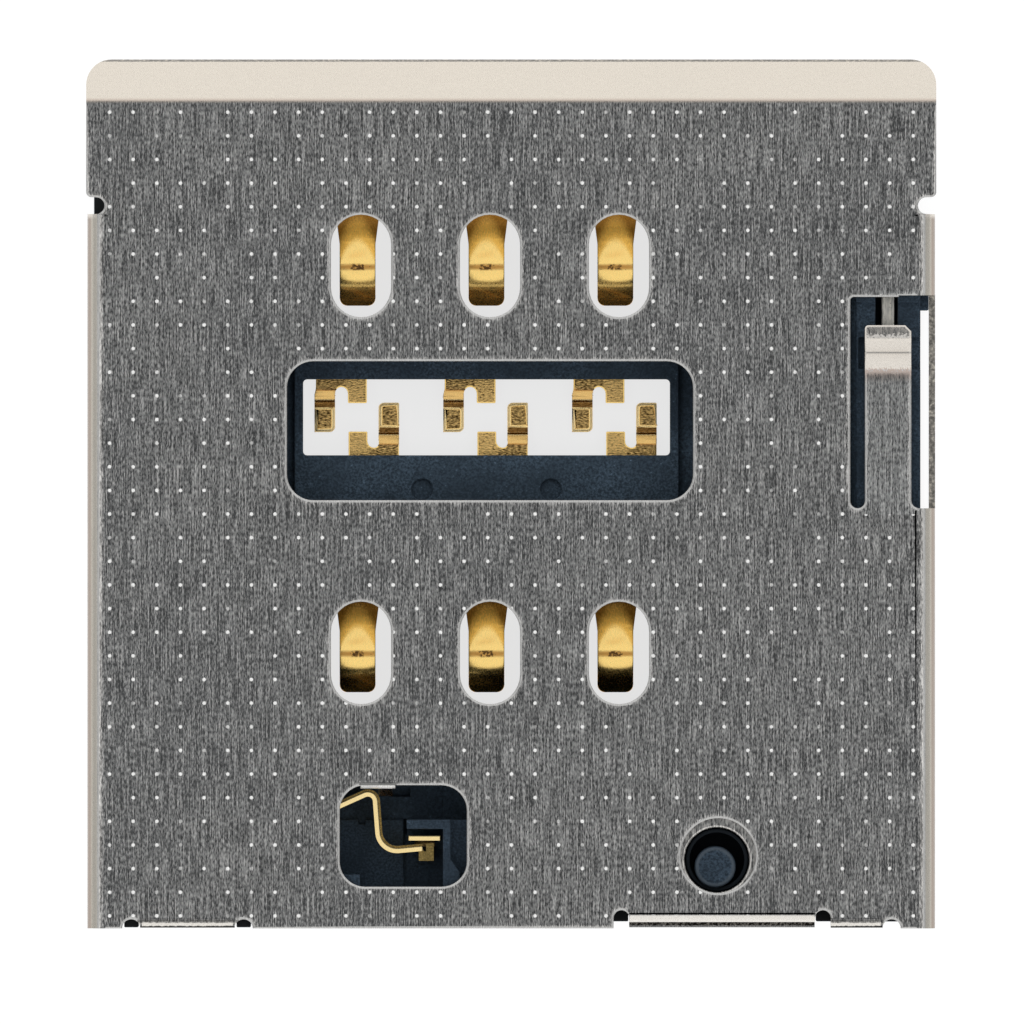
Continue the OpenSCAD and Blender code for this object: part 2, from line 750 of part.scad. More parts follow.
module base_rails() {
    lead = 0.35;
    slab(0, base_top) polygon([
        [base_left, base_rear], [rail_left, base_rear], [rail_left, base_front - 2 * lead],
        [rail_left - lead, base_front], [base_left, base_front]
    ]);
    difference() {
        slab(0, base_top) polygon([
            [rail_right, rail_rear], [base_right, rail_rear], [base_right, wall_front - 0.1],
            [base_right - 0.12, wall_front - 0.1], [base_right - 0.12, base_front],
            [rail_right + lead / 2, base_front], [rail_right, base_front - 2 * lead]
        ]);
        slab(base_top - rail_drop, far) rect(0, far, finger_base - 0.3, finger_win - 0.114);
        slab(base_top - rail_drop - 0.17, far) rect(0, far, fold_rear + 0.073, fold_front + 0.008);
    }
    z = base_top - rail_drop;
    along_y(rail_rear, base_front - 2 * lead) polygon([
        [rail_right - rail_lead, 0.1], [rail_right + 0.05, 0.1], [rail_right + 0.05, z],
        [rail_right, z], [rail_right - rail_lead, z - rail_lead]
    ]);
    slab(0, base_top - side_fold_r - 0.01)
        rect(base_right - 0.05, base_lug, finger_win - 0.265, wall_front - 0.1);
}

module base_rear_block() {
    wall_y = base_rear + 0.17;
    slab(0, shelf_z) rect(det.x + 0.361, base_right, base_rear, block_front);
    slab(0, shelf_z) rect(rail_right, base_right, block_front - 0.1, rail_rear + 0.1);
    slab(0, base_top) rect(base_left, tab_main_x - tab_main_w / 2 - relief_w - 0.1, base_rear, wall_y);
    slab(0, base_top) rect(tab_main_x + tab_main_w / 2 + relief_w + 0.1, base_right, base_rear, wall_y);
    slab(0, base_top) polygon([
        [det.x + 0.361, base_rear + 0.05], [det.x + 0.361, det.y + 0.182], [det.x - 0.354, det.y + 0.182],
        [det.x - 0.354, block_front], [det.x + 0.513, block_front], [det.x + 0.513, det.y - 0.397],
        [det.x + 0.694, det.y - 0.671], [det.x + 0.694, base_rear + 0.05]
    ]);
}

// Base: levels round the detect switch
module base_nest() {
    slab(0, floor_t + 0.11) rect(det.x - 2, det.x - 0.415, base_rear + 0.1, det.y + 0.36);
    slab(0, floor_t + 0.05) rect(det.x + 0.363, rail_right + 0.1, block_front - 0.1, block_front + 0.9);
    slab(0, base_top) rect(det.x - 2, det.x - 1.271, base_rear, det.y - 0.71);
}

module pip() {
    translate([pivot.x - 0.036, pivot.y - 0.136, 0]) cylinder(h = base_top - 0.03, r = pip_r);
}

module base_pivot() {
    translate([pivot.x, pivot.y, 0]) cylinder(h = boss_z, r = boss_r);
    pip();
}

// Base: deep ring round the pip, inside the bearing wall of the pivot boss
module pivot_space() {
    difference() {
        translate([pivot.x, pivot.y, floor_t + 0.2]) cylinder(h = far, r = boss_r - boss_wall);
        pip();
    }
}

module base_anchor() {
    x = det.x - anchor_left;
    slab(0, det_high) rect(x - 0.4, x + 0.45, base_rear + 0.1, det.y - 0.75);
}

module base_latches() {
    z0 = latch_z + 0.02;
    z1 = latch_z + latch_h - 0.03;
    out = wall_out - 0.02;
    l = latch_l / 2 - 0.05;
    for (y = latch_left)
        along_y(y - l, y + l) polygon([
            [0.2 - wall_in, z0], [-out, z0], [-out, z0 + 0.08], [wall_gap - wall_in, z1], [0.2 - wall_in, z1]
        ]);
    for (y = latch_right) {
        along_y(y - l, y + l) polygon([
            [base_right - 0.1, z0], [out, z0], [out, z0 + 0.08],
            [wall_in - wall_gap, z1], [base_right - 0.1, z1]
        ]);
        slab(0, z1) rect(base_right - 0.1, base_lug, y - l, y + l);
    }
}

module base_lugs() {
    for (s = [-1, 1]) {
        x = -tab_left_x + s * (tab_left_w / 2 + relief_r);
        slab(0, base_top) rect(x - 0.14, x + 0.14, rear_y + 0.02, base_rear + 0.1);
    }
}

// Base: plan of the openings through the floor
module well_plan() {
    for (i = [-1:1], y = [front_row, rear_row])
        translate([field_x + i * col_pitch, y]) rect(-well_w / 2, well_w / 2, -well_rear, well_front);
    translate([field_x, tail_y]) polygon(round_rect(tail_open_w, tail_open_l, 0.08, 4));
}

// Base: the space that the moulded-in strips fill
module strip_space() {
    for (i = [-1:1]) translate([field_x + i * col_pitch, 0, 0]) {
        front_metal();
        rear_metal();
    }
}

// Base: channel, head pocket and lever room
module rod_space() {
    x = rod_x - 0.028;
    slab(channel_low, far) rect(x - channel_w / 2, x + channel_w / 2, rod_rear - rod_stroke - 0.14, far);
    slab(channel_low, far) rect(rod_x - head_w / 2 - 0.04, rod_x + head_w / 2 + 0.04, head_pocket, far);
}

module detect_space() {
    fit = 0.005;
    foot_x = det.x - anchor_left;
    foot_y = det.y - 1.3;
    side_x = det_t / 2 + fit;
    slab(det_low - fit, far) rect(foot_x - side_x, foot_x + side_x, foot_y - fit, det.y);
    slab(-1, far) rect(foot_x - side_x, foot_x + side_x, foot_y - fit, foot_y + 0.4 + fit);
    slab(-1, det_t + fit) rect(foot_x - side_x, foot_x + 0.36 + fit, -far, foot_y + 0.4 + fit);
    slab(-1, det_t + fit) rect(det.x - 0.2 - fit, det.x + 0.2 + fit, -far, det.y + det_t / 2 + fit);
    slab(-1, far) rect(det.x - 0.2 - fit, det.x + 0.2 + fit, det.y - det_t / 2 - 0.12, det.y + side_x);
}

module nest_space() {
    slab(floor_t - 0.15, far) rect(det.x - 0.661, det.x - 0.287, det.y + 0.815, det.y + 0.992);
    slab(floor_t - 0.15, floor_t + 0.5) rect(det.x - 0.415, det.x - 0.354, det.y + 0.06, block_front);
    slab(floor_t, floor_t + 0.5) rect(det.x - 1.3, det.x - 1.17, block_front - 0.1, block_front);
}

// Base: room for the side fold over the left rail
module fold_space() {
    d = side_fold_r + 0.02;
    along_y(-far, far) polygon([
        [-far, base_top - d], [base_left - 0.01, base_top - d], [base_left - 0.01 + d, base_top],
        [base_left + d, far], [-far, far]
    ]);
}

module tab_space() {
    w = tab_main_w / 2 + 0.02;
    slab(-1, far) rect(tab_main_x - w, tab_main_x + w, -far, rear_y + tab_main_in + sheet_t + wall_gap);
}

module base() {
    color(plastic) difference() {
        union() {
            base_floor();
            base_platform();
            base_rails();
            base_rear_block();
            base_nest();
            base_pivot();
            base_anchor();
            base_latches();
            base_lugs();
        }
        slab(-1, shelf_z - 0.2) well_plan();
        strip_space();
        rod_space();
        detect_space();
        nest_space();
        tab_space();
        fold_space();
        pivot_space();
        for (s = [-1, 1])
            translate([field_x + s * col_pitch / 2, field_y - 0.575, platform_z - 0.09])
                cylinder(h = 1, r = mark_r);
        for (x = [base_left + 1.2, rail_right - 0.9], y = [base_front - 1.4, rear_row - 0.6])
            translate([x, y, -1]) cylinder(h = 1.03, r = 0.4);
        along_x(-far, far) polygon([
            [base_front - 0.25, floor_t], [base_front, floor_t - 0.12], [far, floor_t - 0.12], [far, floor_t]
        ]);
    }
}

module eject_lever() {
    color(lever_steel) slab(lever_low, lever_high) difference() {
        union() {
            translate(pivot) circle(hub_r);
            polygon(wrap(pivot, 0.62, nose, nose_r));
            polygon(wrap(pivot, 0.72, tip, tip_r));
        }
        translate(pivot) circle(lever_bore_r);
    }
}

module push_rod() {
    y1 = head_front - head_t / 2;
    color(rod_steel) {
        along_x(rod_x - rod_t / 2, rod_x + rod_t / 2) polygon([
            [rod_rear, rod_low], [y1, rod_low], [y1, rod_high],
            [rod_rear + 1.3, rod_high], [rod_rear + 1.0, lever_high], [rod_rear, lever_high]
        ]);
        slab(rod_low, base_top - 0.06)
            rect(rod_x - head_w / 2, rod_x + head_w / 2, head_front - head_t, head_front);
    }
}

shell();
base();
contact_front(-1);  // contact_front_left
contact_front(0);  // contact_front_middle
contact_front(1);  // contact_front_right
contact_rear(-1);  // contact_rear_left
contact_rear(0);  // contact_rear_middle
contact_rear(1);  // contact_rear_right
detect_spring();
detect_terminal();
eject_lever();
push_rod();
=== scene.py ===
"""Tray socket for a small phone card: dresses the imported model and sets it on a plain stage."""

import math

import bmesh
import bpy
from bpy.props import FloatProperty, FloatVectorProperty, PointerProperty
from bpy.types import Operator, Panel, PropertyGroup
from mathutils import Matrix, Vector


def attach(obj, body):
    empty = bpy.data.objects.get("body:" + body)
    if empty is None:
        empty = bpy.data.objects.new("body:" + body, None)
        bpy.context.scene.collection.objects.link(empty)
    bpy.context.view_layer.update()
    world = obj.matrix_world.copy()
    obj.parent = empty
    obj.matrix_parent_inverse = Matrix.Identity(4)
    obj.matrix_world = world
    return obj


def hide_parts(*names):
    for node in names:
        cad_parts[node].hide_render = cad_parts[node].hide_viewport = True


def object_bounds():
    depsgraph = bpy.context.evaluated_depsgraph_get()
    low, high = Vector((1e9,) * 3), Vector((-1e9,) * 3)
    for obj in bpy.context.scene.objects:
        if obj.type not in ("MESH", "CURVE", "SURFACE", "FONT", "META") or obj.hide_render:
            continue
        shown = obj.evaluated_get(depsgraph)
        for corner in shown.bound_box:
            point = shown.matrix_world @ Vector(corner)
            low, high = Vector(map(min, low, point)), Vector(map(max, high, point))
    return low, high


bl_info = {
    "name": "Card tray socket",
    "version": (1, 0, 0),
    "blender": (4, 5, 0),
    "location": "3D View > Sidebar > Socket",
    "description": "Finishes a card tray socket: brushed shell, moulded base, gold contacts, lever and rod",
    "category": "Object",
}

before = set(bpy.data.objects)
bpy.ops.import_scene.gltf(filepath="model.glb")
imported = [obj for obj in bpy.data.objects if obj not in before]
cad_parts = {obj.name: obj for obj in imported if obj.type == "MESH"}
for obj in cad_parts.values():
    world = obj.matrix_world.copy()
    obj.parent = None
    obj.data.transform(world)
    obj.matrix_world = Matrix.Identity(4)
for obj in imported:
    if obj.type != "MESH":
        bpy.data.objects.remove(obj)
CAD_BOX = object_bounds()
MM = 0.001

# Places in millimetres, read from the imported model
ROWS = (4.473, -3.147)
COLUMNS = {"left": -3.028, "middle": -0.488, "right": 2.052}
COLUMN_PITCH = 2.54
CONTACTS = tuple(f"contact_{row}_{side}" for row in ("front", "rear") for side in COLUMNS)
TAIL_Y = 1.513
TAIL_SIDE = 0.40
TAIL_FROM, TAIL_TO = 0.62, 0.10
LOW_STRIP = 0.3
PIP = (4.016, -7.342)
POST = (-1.707, -6.84)
POST_HALF = 0.205
POST_GAP = 0.007
NEST_X, NEST_Y = (-2.15, -1.25), (-6.95, -6.60)
FINGER_X, FINGER_Y = (6.9, 7.95), (-0.4, 3.8)
CUTOUT_X, CUTOUT_Y, CUTOUT_HALF = 6.6, 1.8, 2.2
RELIEF_Y = 5.69
REAR_EDGE = -8.0
WHITE = (1.0, 1.0, 1.0)


# Settings

def colour_setting(name, description, default):
    """A colour among the settings."""
    return FloatVectorProperty(
        name=name, description=description, default=default, size=3, subtype="COLOR", min=0.0, max=1.0)


def length_setting(name, description, millimetres):
    """A small length among the settings."""
    return FloatProperty(
        name=name, description=description, default=millimetres * MM, unit="LENGTH", precision=6)


class SocketStageSettings(PropertyGroup):
    """Camera, floor and light round the socket."""

    view_centre: FloatVectorProperty(
        name="View centre", description="Point under the middle of the picture",
        size=2, default=(0.015 * MM, -0.354 * MM), subtype="TRANSLATION", unit="LENGTH", precision=6)
    view_width: length_setting("View width", "Width of the picture at the plate", 20.165)
    lens: FloatProperty(
        name="Lens", description="Focal length, long so that the view is almost parallel",
        default=1500.0, unit="CAMERA")
    card_height: FloatProperty(
        name="Card height", description="Height of the dark card over the socket",
        default=0.25, unit="LENGTH")
    card_inner: FloatProperty(
        name="Card dark half-angle", description="Half-angle of the fully dark middle of the card",
        default=math.radians(20), subtype="ANGLE", unit="ROTATION")
    card_outer: FloatProperty(
        name="Card half-angle", description="Half-angle at which the card has faded to white",
        default=math.radians(28), subtype="ANGLE", unit="ROTATION")
    card_shade: colour_setting("Card shade", "Shade of the middle of the card", (0.172, 0.183, 0.196))
    side_shade: FloatProperty(
        name="Side card shade", description="Shade of the grey cards at the left and right", default=0.60)
    fill: FloatProperty(
        name="Fill", description="Strength of the even light all round", default=1.18)
    floor_tone: FloatProperty(
        name="Floor tone", description="Share of the floor's white that takes a shadow", default=0.17)
    floor_glow: FloatProperty(
        name="Floor glow", description="Share of the floor's white that takes none", default=0.92)
    # Painted shade: the small greyer sheet under the socket that shows through the openings
    shade_sheet_tone: FloatProperty(
        name="Shade_sheet tone", description="Share of the small paper's white that takes a shadow", default=0.10)
    shade_sheet_glow: FloatProperty(
        name="Shade_sheet glow", description="Share of the small paper's white that takes no shadow", default=0.745)


class SocketFinishSettings(PropertyGroup):
    """Colours and small sizes of the finishes."""

    steel: colour_setting("Sheet steel", "Colour of the shell's steel", (0.80, 0.735, 0.645))
    plate: colour_setting("Brushed plate", "Colour of the brushed plate", (0.755, 0.735, 0.705))
    # The sheared edge's dark colour is partly the rough cut and partly painted shade
    steel_cut: colour_setting("Sheared steel", "Colour of the sheet's cut edges", (0.31, 0.29, 0.26))
    plastic: colour_setting("Plastic", "Colour of the moulded base", (0.0330, 0.0500, 0.0710))
    gold: colour_setting("Gold plate", "Colour of the contacts", (1.0, 0.69, 0.235))
    # Painted shade: the deeper orange of the level faces of the tongues and bends
    gold_level_shade: colour_setting(
        "Gold hollows", "Colour of the level parts of the tongues and bends", (1.0, 0.56, 0.15))
    # Painted shade towards the tongues' roots and free ends
    gold_root_shade: colour_setting("Gold root", "Colour of the tongues towards their roots", (0.36, 0.165, 0.022))
    gold_end_shade: colour_setting("Gold end", "Colour of the free ends of the tongues", (0.50, 0.275, 0.068))
    gold_low: colour_setting("Tail hollows", "Colour of the hollows in the matt tails", (0.070, 0.034, 0.008))
    gold_high: colour_setting(
        "Tail grain", "Colour of the raised grain of the matt tails", (1.0, 0.675, 0.255))
    # Partly the matt cut edge and partly a painted highlight over darker sides
    gold_edge_highlight: colour_setting(
        "Gold edge", "Colour of the matt upper edges of the switch strips", (0.94, 0.735, 0.36))
    lever: colour_setting("Lever steel", "Colour of the eject lever", (0.53, 0.515, 0.49))
    rod: colour_setting("Rod steel", "Colour of the push rod", (0.80, 0.78, 0.72))
    grain_width: length_setting("Grain width", "Width of a brush mark on the shell", 0.023)
    grain_length: length_setting("Grain length", "Length of a brush mark on the shell", 0.7)
    dot_pitch: length_setting("Dot pitch", "Distance between the pale dots on the plate", 0.4655)
    dot_radius: length_setting("Dot radius", "Radius of a pale dot", 0.041)
    die_roll: length_setting(
        "Die roll", "Rounding of the punched edges on the upper side of the sheet", 0.095)
    roll_depth: length_setting("Die roll depth", "Depth of the die roll at the cut", 0.028)
    mould_edge: length_setting("Mould edge", "Rounding of the moulded edges", 0.022)
    pip_edge: length_setting("Pip edge", "Rounding of the rim of the pivot's pip", 0.07)
    pad_edge: length_setting("Pad edge", "Rounding of the solder pads of the contacts", 0.078)
    strip_edge: length_setting("Strip edge", "Rounding of the stamped edges of the gold strips", 0.022)
    lever_edge: length_setting("Lever edge", "Rounding of the edges of the lever", 0.045)
    rod_edge: length_setting("Rod edge", "Rounding of the edges of the rod", 0.03)


# Node trees

class Tree:
    """Makes and joins the nodes of one material, group or world."""

    def __init__(self, tree):
        self.nodes = tree.nodes
        self.links = tree.links

    def add(self, kind, **settings):
        node = self.nodes.new(kind)
        for key, value in settings.items():
            setattr(node, key, value)
        return node

    def feed(self, socket, value):
        if isinstance(value, bpy.types.NodeSocket):
            self.links.new(value, socket)
        else:
            socket.default_value = value

    def math(self, operation, *values, clamp=False):
        node = self.add("ShaderNodeMath", operation=operation, use_clamp=clamp)
        for socket, value in zip(node.inputs, values):
            self.feed(socket, value)
        return node.outputs[0]

    def step(self, value, low, high, to_low=0.0, to_high=1.0, smooth=True):
        node = self.add("ShaderNodeMapRange", clamp=True)
        node.interpolation_type = "SMOOTHSTEP" if smooth else "LINEAR"
        for socket, given in zip(node.inputs, (value, low, high, to_low, to_high)):
            self.feed(socket, given)
        return node.outputs[0]

    def blend(self, amount, first, second, kind="MIX"):
        node = self.add("ShaderNodeMix", data_type="RGBA", blend_type=kind, clamp_factor=True)
        for socket, given in zip((node.inputs[0], node.inputs[6], node.inputs[7]), (amount, first, second)):
            if not isinstance(given, (float, int, bpy.types.NodeSocket)):
                given = (*given, 1.0)
            self.feed(socket, given)
        return node.outputs[2]

    def noise(self, vector, scale, detail=2.0, roughness=0.5):
        node = self.add("ShaderNodeTexNoise", noise_dimensions="3D")
        self.feed(node.inputs["Vector"], vector)
        self.feed(node.inputs["Scale"], scale)
        self.feed(node.inputs["Detail"], detail)
        self.feed(node.inputs["Roughness"], roughness)
        return node.outputs["Fac"]

    def group(self, tree, **values):
        node = self.add("ShaderNodeGroup", node_tree=tree)
        for key, value in values.items():
            self.feed(node.inputs[key], value)
        return node.outputs

    def axes(self, vector):
        node = self.add("ShaderNodeSeparateXYZ")
        self.feed(node.inputs[0], vector)
        return node.outputs

    def millimetres(self, place):
        """The three axes of a place, in millimetres."""
        node = self.add("ShaderNodeVectorMath", operation="SCALE")
        self.feed(node.inputs[0], place)
        self.feed(node.inputs["Scale"], 1.0 / MM)
        return self.axes(node.outputs[0])

    def upward(self):
        """How far the surface faces up."""
        return self.axes(self.add("ShaderNodeNewGeometry").outputs["Normal"])[2]

    def chain(self, operation, *values):
        result = values[0]
        for value in values[1:]:
            result = self.math(operation, result, value)
        return result

    def both(self, *masks):
        """Product of masks and shares."""
        return self.chain("MULTIPLY", *masks)

    def either(self, *masks):
        """Largest of masks."""
        return self.chain("MAXIMUM", *masks)

    def total(self, *values):
        return self.chain("ADD", *values)

    def rest(self, mask):
        """What a mask leaves out."""
        return self.math("SUBTRACT", 1.0, mask)

    def under(self, value, low, high):
        """One up to the first limit, fading to nothing at the second."""
        return self.step(value, low, high, 1.0, 0.0)

    def band(self, value, rise, full, fade, end):
        """A mask that rises, holds and fades along a value."""
        return self.both(self.step(value, rise, full), self.under(value, fade, end))

    def gap(self, value, centre):
        """Distance of a value from a centre."""
        return self.math("ABSOLUTE", self.math("SUBTRACT", value, centre))

    def near(self, value, centre, reach):
        """One where a value lies within reach of a centre."""
        return self.math("LESS_THAN", self.gap(value, centre), reach)

    def away(self, x, y):
        """Length of a flat vector."""
        return self.math("SQRT", self.total(self.math("POWER", x, 2.0), self.math("POWER", y, 2.0)))

    def waver(self, value, cloud, width):
        """A value that wanders by a width with a cloud round one half."""
        return self.total(value, self.both(self.math("SUBTRACT", cloud, 0.5), width))

    def tint(self, amount, colour, low, high):
        """From a darker to a paler share of one colour."""
        return self.blend(amount, [c * low for c in colour], [min(1.0, c * high) for c in colour])

    def height(self, value, distance):
        node = self.add("ShaderNodeBump")
        self.feed(node.inputs["Strength"], 1.0)
        self.feed(node.inputs["Distance"], distance)
        self.feed(node.inputs["Height"], value)
        return node.outputs["Normal"]

    def surface(self, shader, colour, metal, rough, bump, depth):
        """Joins a finish to its shader."""
        self.feed(shader.inputs["Base Color"], colour)
        self.feed(shader.inputs["Metallic"], metal)
        self.feed(shader.inputs["Roughness"], rough)
        self.feed(shader.inputs["Normal"], self.height(bump, depth))


def new_group(name, inputs, outputs):
    """An empty node group with vector, float and mask sockets."""
    tree = bpy.data.node_groups.new(name, "ShaderNodeTree")
    for key, kind in inputs:
        tree.interface.new_socket(name=key, in_out="INPUT", socket_type=kind)
    for key in outputs:
        tree.interface.new_socket(name=key, in_out="OUTPUT", socket_type="NodeSocketFloat")
    maker = Tree(tree)
    return tree, maker, maker.add("NodeGroupInput").outputs, maker.add("NodeGroupOutput").inputs


def brush_group():
    """Long fine marks along Y: a streak mask and slow patches."""
    found = bpy.data.node_groups.get("Brush marks")
    if found:
        return found
    tree, t, given, out = new_group(
        "Brush marks",
        (("Place", "NodeSocketVector"), ("Width", "NodeSocketFloat"), ("Length", "NodeSocketFloat")),
        ("Streak", "Patch"))
    across = t.math("DIVIDE", 1.0, given["Width"])
    parts = []
    for share, length in ((0.46, given["Length"]), (0.54, t.math("MULTIPLY", given["Width"], 3.6))):
        stretch = t.add("ShaderNodeCombineXYZ")
        t.feed(stretch.inputs[0], across)
        t.feed(stretch.inputs[1], t.math("DIVIDE", 1.0, length))
        t.feed(stretch.inputs[2], across)
        scaled = t.add("ShaderNodeVectorMath", operation="MULTIPLY")
        t.feed(scaled.inputs[0], given["Place"])
        t.feed(scaled.inputs[1], stretch.outputs[0])
        parts.append(t.math("MULTIPLY", t.noise(scaled.outputs[0], 1.0, 1.0, 0.5), share))
    t.feed(out["Streak"], t.step(t.math("ADD", *parts), 0.35, 0.65, smooth=False))
    t.feed(out["Patch"], t.noise(given["Place"], 420.0, 2.0, 0.5))
    return tree


def speck_group():
    """Small irregular specks, as in a matt or worn surface."""
    found = bpy.data.node_groups.get("Specks")
    if found:
        return found
    tree, t, given, out = new_group(
        "Specks",
        (("Place", "NodeSocketVector"), ("Size", "NodeSocketFloat"), ("Share", "NodeSocketFloat")),
        ("Mask", "Cloud"))
    scale = t.math("DIVIDE", 1.0, given["Size"])
    cloud = t.noise(given["Place"], scale, 2.0, 0.6)
    edge = t.math("SUBTRACT", 0.78, t.math("MULTIPLY", given["Share"], 0.4))
    t.feed(out["Mask"], t.step(cloud, edge, t.math("ADD", edge, 0.08)))
    t.feed(out["Cloud"], cloud)
    return tree


def new_material(name):
    """A material with its shader, its place on the object and a tree maker."""
    material = bpy.data.materials.new(name)
    material.use_nodes = True
    t = Tree(material.node_tree)
    shader = t.nodes["Principled BSDF"]
    place = t.add("ShaderNodeTexCoord").outputs["Object"]
    return material, t, shader, place


def steel_sheet(settings):
    """Brushed stainless sheet with a grid of pale matt dots on the flat plate, painted as the glints of small
    dimples.
    """
    material, t, shader, place = new_material("Brushed steel sheet")
    x, y, z = t.millimetres(place)
    wide = t.math("ABSOLUTE", x)
    upward = t.upward()
    marks = t.group(brush_group(), Place=place, Width=settings.grain_width, Length=settings.grain_length)
    tone = marks["Streak"]
    plate = settings.plate
    flat = t.both(t.step(z, 1.362, 1.372), t.under(y, 7.68, 7.74))
    cutout = t.both(t.math("GREATER_THAN", x, CUTOUT_X), t.near(y, CUTOUT_Y, CUTOUT_HALF))
    finger = t.both(cutout, t.math("GREATER_THAN", x, 6.93))

    # Grid of pale matt dots: painted highlights in place of the glints of small dimples
    pitch = settings.dot_pitch / MM
    columns = t.math("DIVIDE", t.total(x, 7.910), pitch)
    rows = t.math("DIVIDE", t.math("SUBTRACT", y, 7.520), pitch)
    column = t.math("ROUND", columns)
    row = t.math("ROUND", rows)
    cell = t.add("ShaderNodeCombineXYZ")
    t.feed(cell.inputs[0], column)
    t.feed(cell.inputs[1], row)
    chance = t.add("ShaderNodeTexWhiteNoise", noise_dimensions="3D")
    t.feed(chance.inputs["Vector"], cell.outputs[0])
    away = t.away(t.math("SUBTRACT", columns, column), t.math("SUBTRACT", rows, row))
    reach = settings.dot_radius / settings.dot_pitch
    dot = t.both(
        t.under(away, reach * 0.6, reach * 1.1), t.step(chance.outputs["Value"], 0.07, 0.42, smooth=False),
        flat, t.math("LESS_THAN", wide, 8.02), t.rest(cutout))

    # Brushed plate, with calm rims where the sheet rolls over
    brushed = t.blend(finger, t.tint(t.math("POWER", tone, 1.35), plate, 0.27, 1.32),
                      t.tint(t.math("POWER", tone, 1.1), plate, 0.36, 1.34))
    bend = t.both(t.step(wide, 7.93, 7.97), t.step(upward, 0.945, 0.965))
    level = t.either(t.step(upward, 0.972, 0.990), bend)
    brushed = t.blend(level, t.tint(tone, (0.74, 0.735, 0.72), 0.56, 0.80), brushed)
    dot = t.both(dot, level)

    # Folds and lip. The side folds carry painted shade in place of their dim reflections: grey, darker on the
    # right fold than the left, and brown on the outer bend where it faces up
    calm = t.blend(t.step(y, 7.3, 7.5), t.tint(tone, (0.79, 0.74, 0.675), 0.84, 1.04),
                   t.tint(tone, settings.steel, 0.93, 1.06))
    fold = t.blend(t.step(x, -1.0, 1.0), (0.70, 0.67, 0.62), (0.45, 0.44, 0.41))
    fold = t.blend(t.step(wide, 8.12, 8.20), fold, (0.60, 0.565, 0.50))
    outer = t.blend(t.step(upward, 0.04, 0.16), (0.60, 0.58, 0.55), (0.385, 0.325, 0.28))
    fold = t.blend(t.step(wide, 8.24, 8.30), fold, outer)
    calm = t.blend(t.both(t.step(wide, 8.06, 8.10), t.under(y, 5.4, 5.5)), calm, fold)
    colour = t.blend(flat, calm, brushed)
    # Painted shade: a brown band along the lip's bend
    lip_bend_shade = t.band(y, 7.70, 7.74, 7.75, 7.82)
    colour = t.blend(t.both(lip_bend_shade, 0.6), colour, (0.60, 0.49, 0.42))

    # Rear tabs: pale bends, and on the foot of the wide tab a mottled painted shade near its wall with a pale
    # painted highlight on its outer edge
    rough_y = t.waver(y, t.noise(place, 1.0 / (0.06 * MM)), 0.05)
    main = t.near(x, 4.16, 1.92)
    small = t.either(t.near(x, -6.365, 1.0), t.near(x, 6.80, 0.54))
    pale = t.blend(tone, (0.70, 0.665, 0.61), (0.86, 0.83, 0.78))
    bent = t.both(main, t.under(y, -8.31, -8.285), t.step(z, 0.3, 0.4))
    colour = t.blend(bent, colour, pale)
    mottle = t.step(t.noise(place, 1.0 / (0.045 * MM)), 0.42, 0.66)
    foot_shade_and_glint = t.blend(t.step(rough_y, -8.520, -8.500), (0.66, 0.64, 0.62),
                   t.blend(mottle, (0.022, 0.019, 0.015), (0.36, 0.33, 0.29)))
    lower = t.both(main, t.step(upward, 0.4, 0.6), t.under(z, 0.3, 0.4))
    colour = t.blend(lower, colour, foot_shade_and_glint)
    # Small rear tabs: painted shade as a dark band at the plate's edge and a near-black band beyond the pale
    # bend on the top level; lower faces stay pale
    clear = t.either(t.step(rough_y, -8.512, -8.498), t.under(z, 1.23, 1.28))
    tab = t.blend(t.step(rough_y, -8.455, -8.430), t.blend(clear, (0.012, 0.012, 0.011), pale),
                  t.tint(tone, plate, 0.10, 0.45))
    colour = t.blend(t.both(small, t.under(y, -8.39, -8.375)), colour, tab)

    # Finger: brown foot, painted grey shade along the crease, and two pale matt bands painted as highlights
    foot = t.both(finger, t.band(t.waver(y, tone, 0.11), 2.16, 2.40, 2.44, 2.47))
    colour = t.blend(t.both(foot, 0.75), colour, (0.50, 0.39, 0.335))
    fuzz = t.waver(y, t.noise(place, 1.0 / (0.05 * MM), 2.0, 0.6), 0.30)
    band_glint = t.either(t.band(fuzz, 3.04, 3.06, 3.12, 3.15), t.band(fuzz, 2.40, 2.43, 2.48, 2.50))
    band_glint = t.both(band_glint, finger, level, 0.8)
    crease = t.under(t.gap(y, 2.787), 0.014, 0.026)
    colour = t.blend(t.both(finger, crease), colour, (0.53, 0.50, 0.46))

    # Bent stop tab in painted dark grey shade, with a pale bar painted as a highlight along the window's edge
    # above it
    stop = t.both(t.near(x, -2.625, 0.37), t.near(y, -5.825, 0.15))
    painted_light_and_shade = t.both(stop, t.band(y, -5.805, -5.795, -5.745, -5.735))
    tab = t.blend(t.step(y, -5.78, -5.76), (0.11, 0.115, 0.125), (0.20, 0.20, 0.195))
    colour = t.blend(stop, colour, tab)
    colour = t.blend(painted_light_and_shade, colour, (0.93, 0.92, 0.89))
    # Painted highlights: the finger's pale matt bands and the plate's pale matt dots
    colour = t.blend(band_glint, colour, (0.74, 0.71, 0.67))
    colour = t.blend(dot, colour, (0.95, 0.95, 0.93))
    metal = t.rest(t.either(t.both(painted_light_and_shade, 0.85), dot, band_glint))
    rough = t.total(t.step(tone, 0.0, 1.0, 0.20, 0.36, smooth=False),
                    t.step(marks["Patch"], 0.3, 0.7, -0.015, 0.015), t.both(dot, 0.3))
    t.surface(shader, colour, metal, rough, t.both(tone, level, flat), 1.2e-6)
    return material


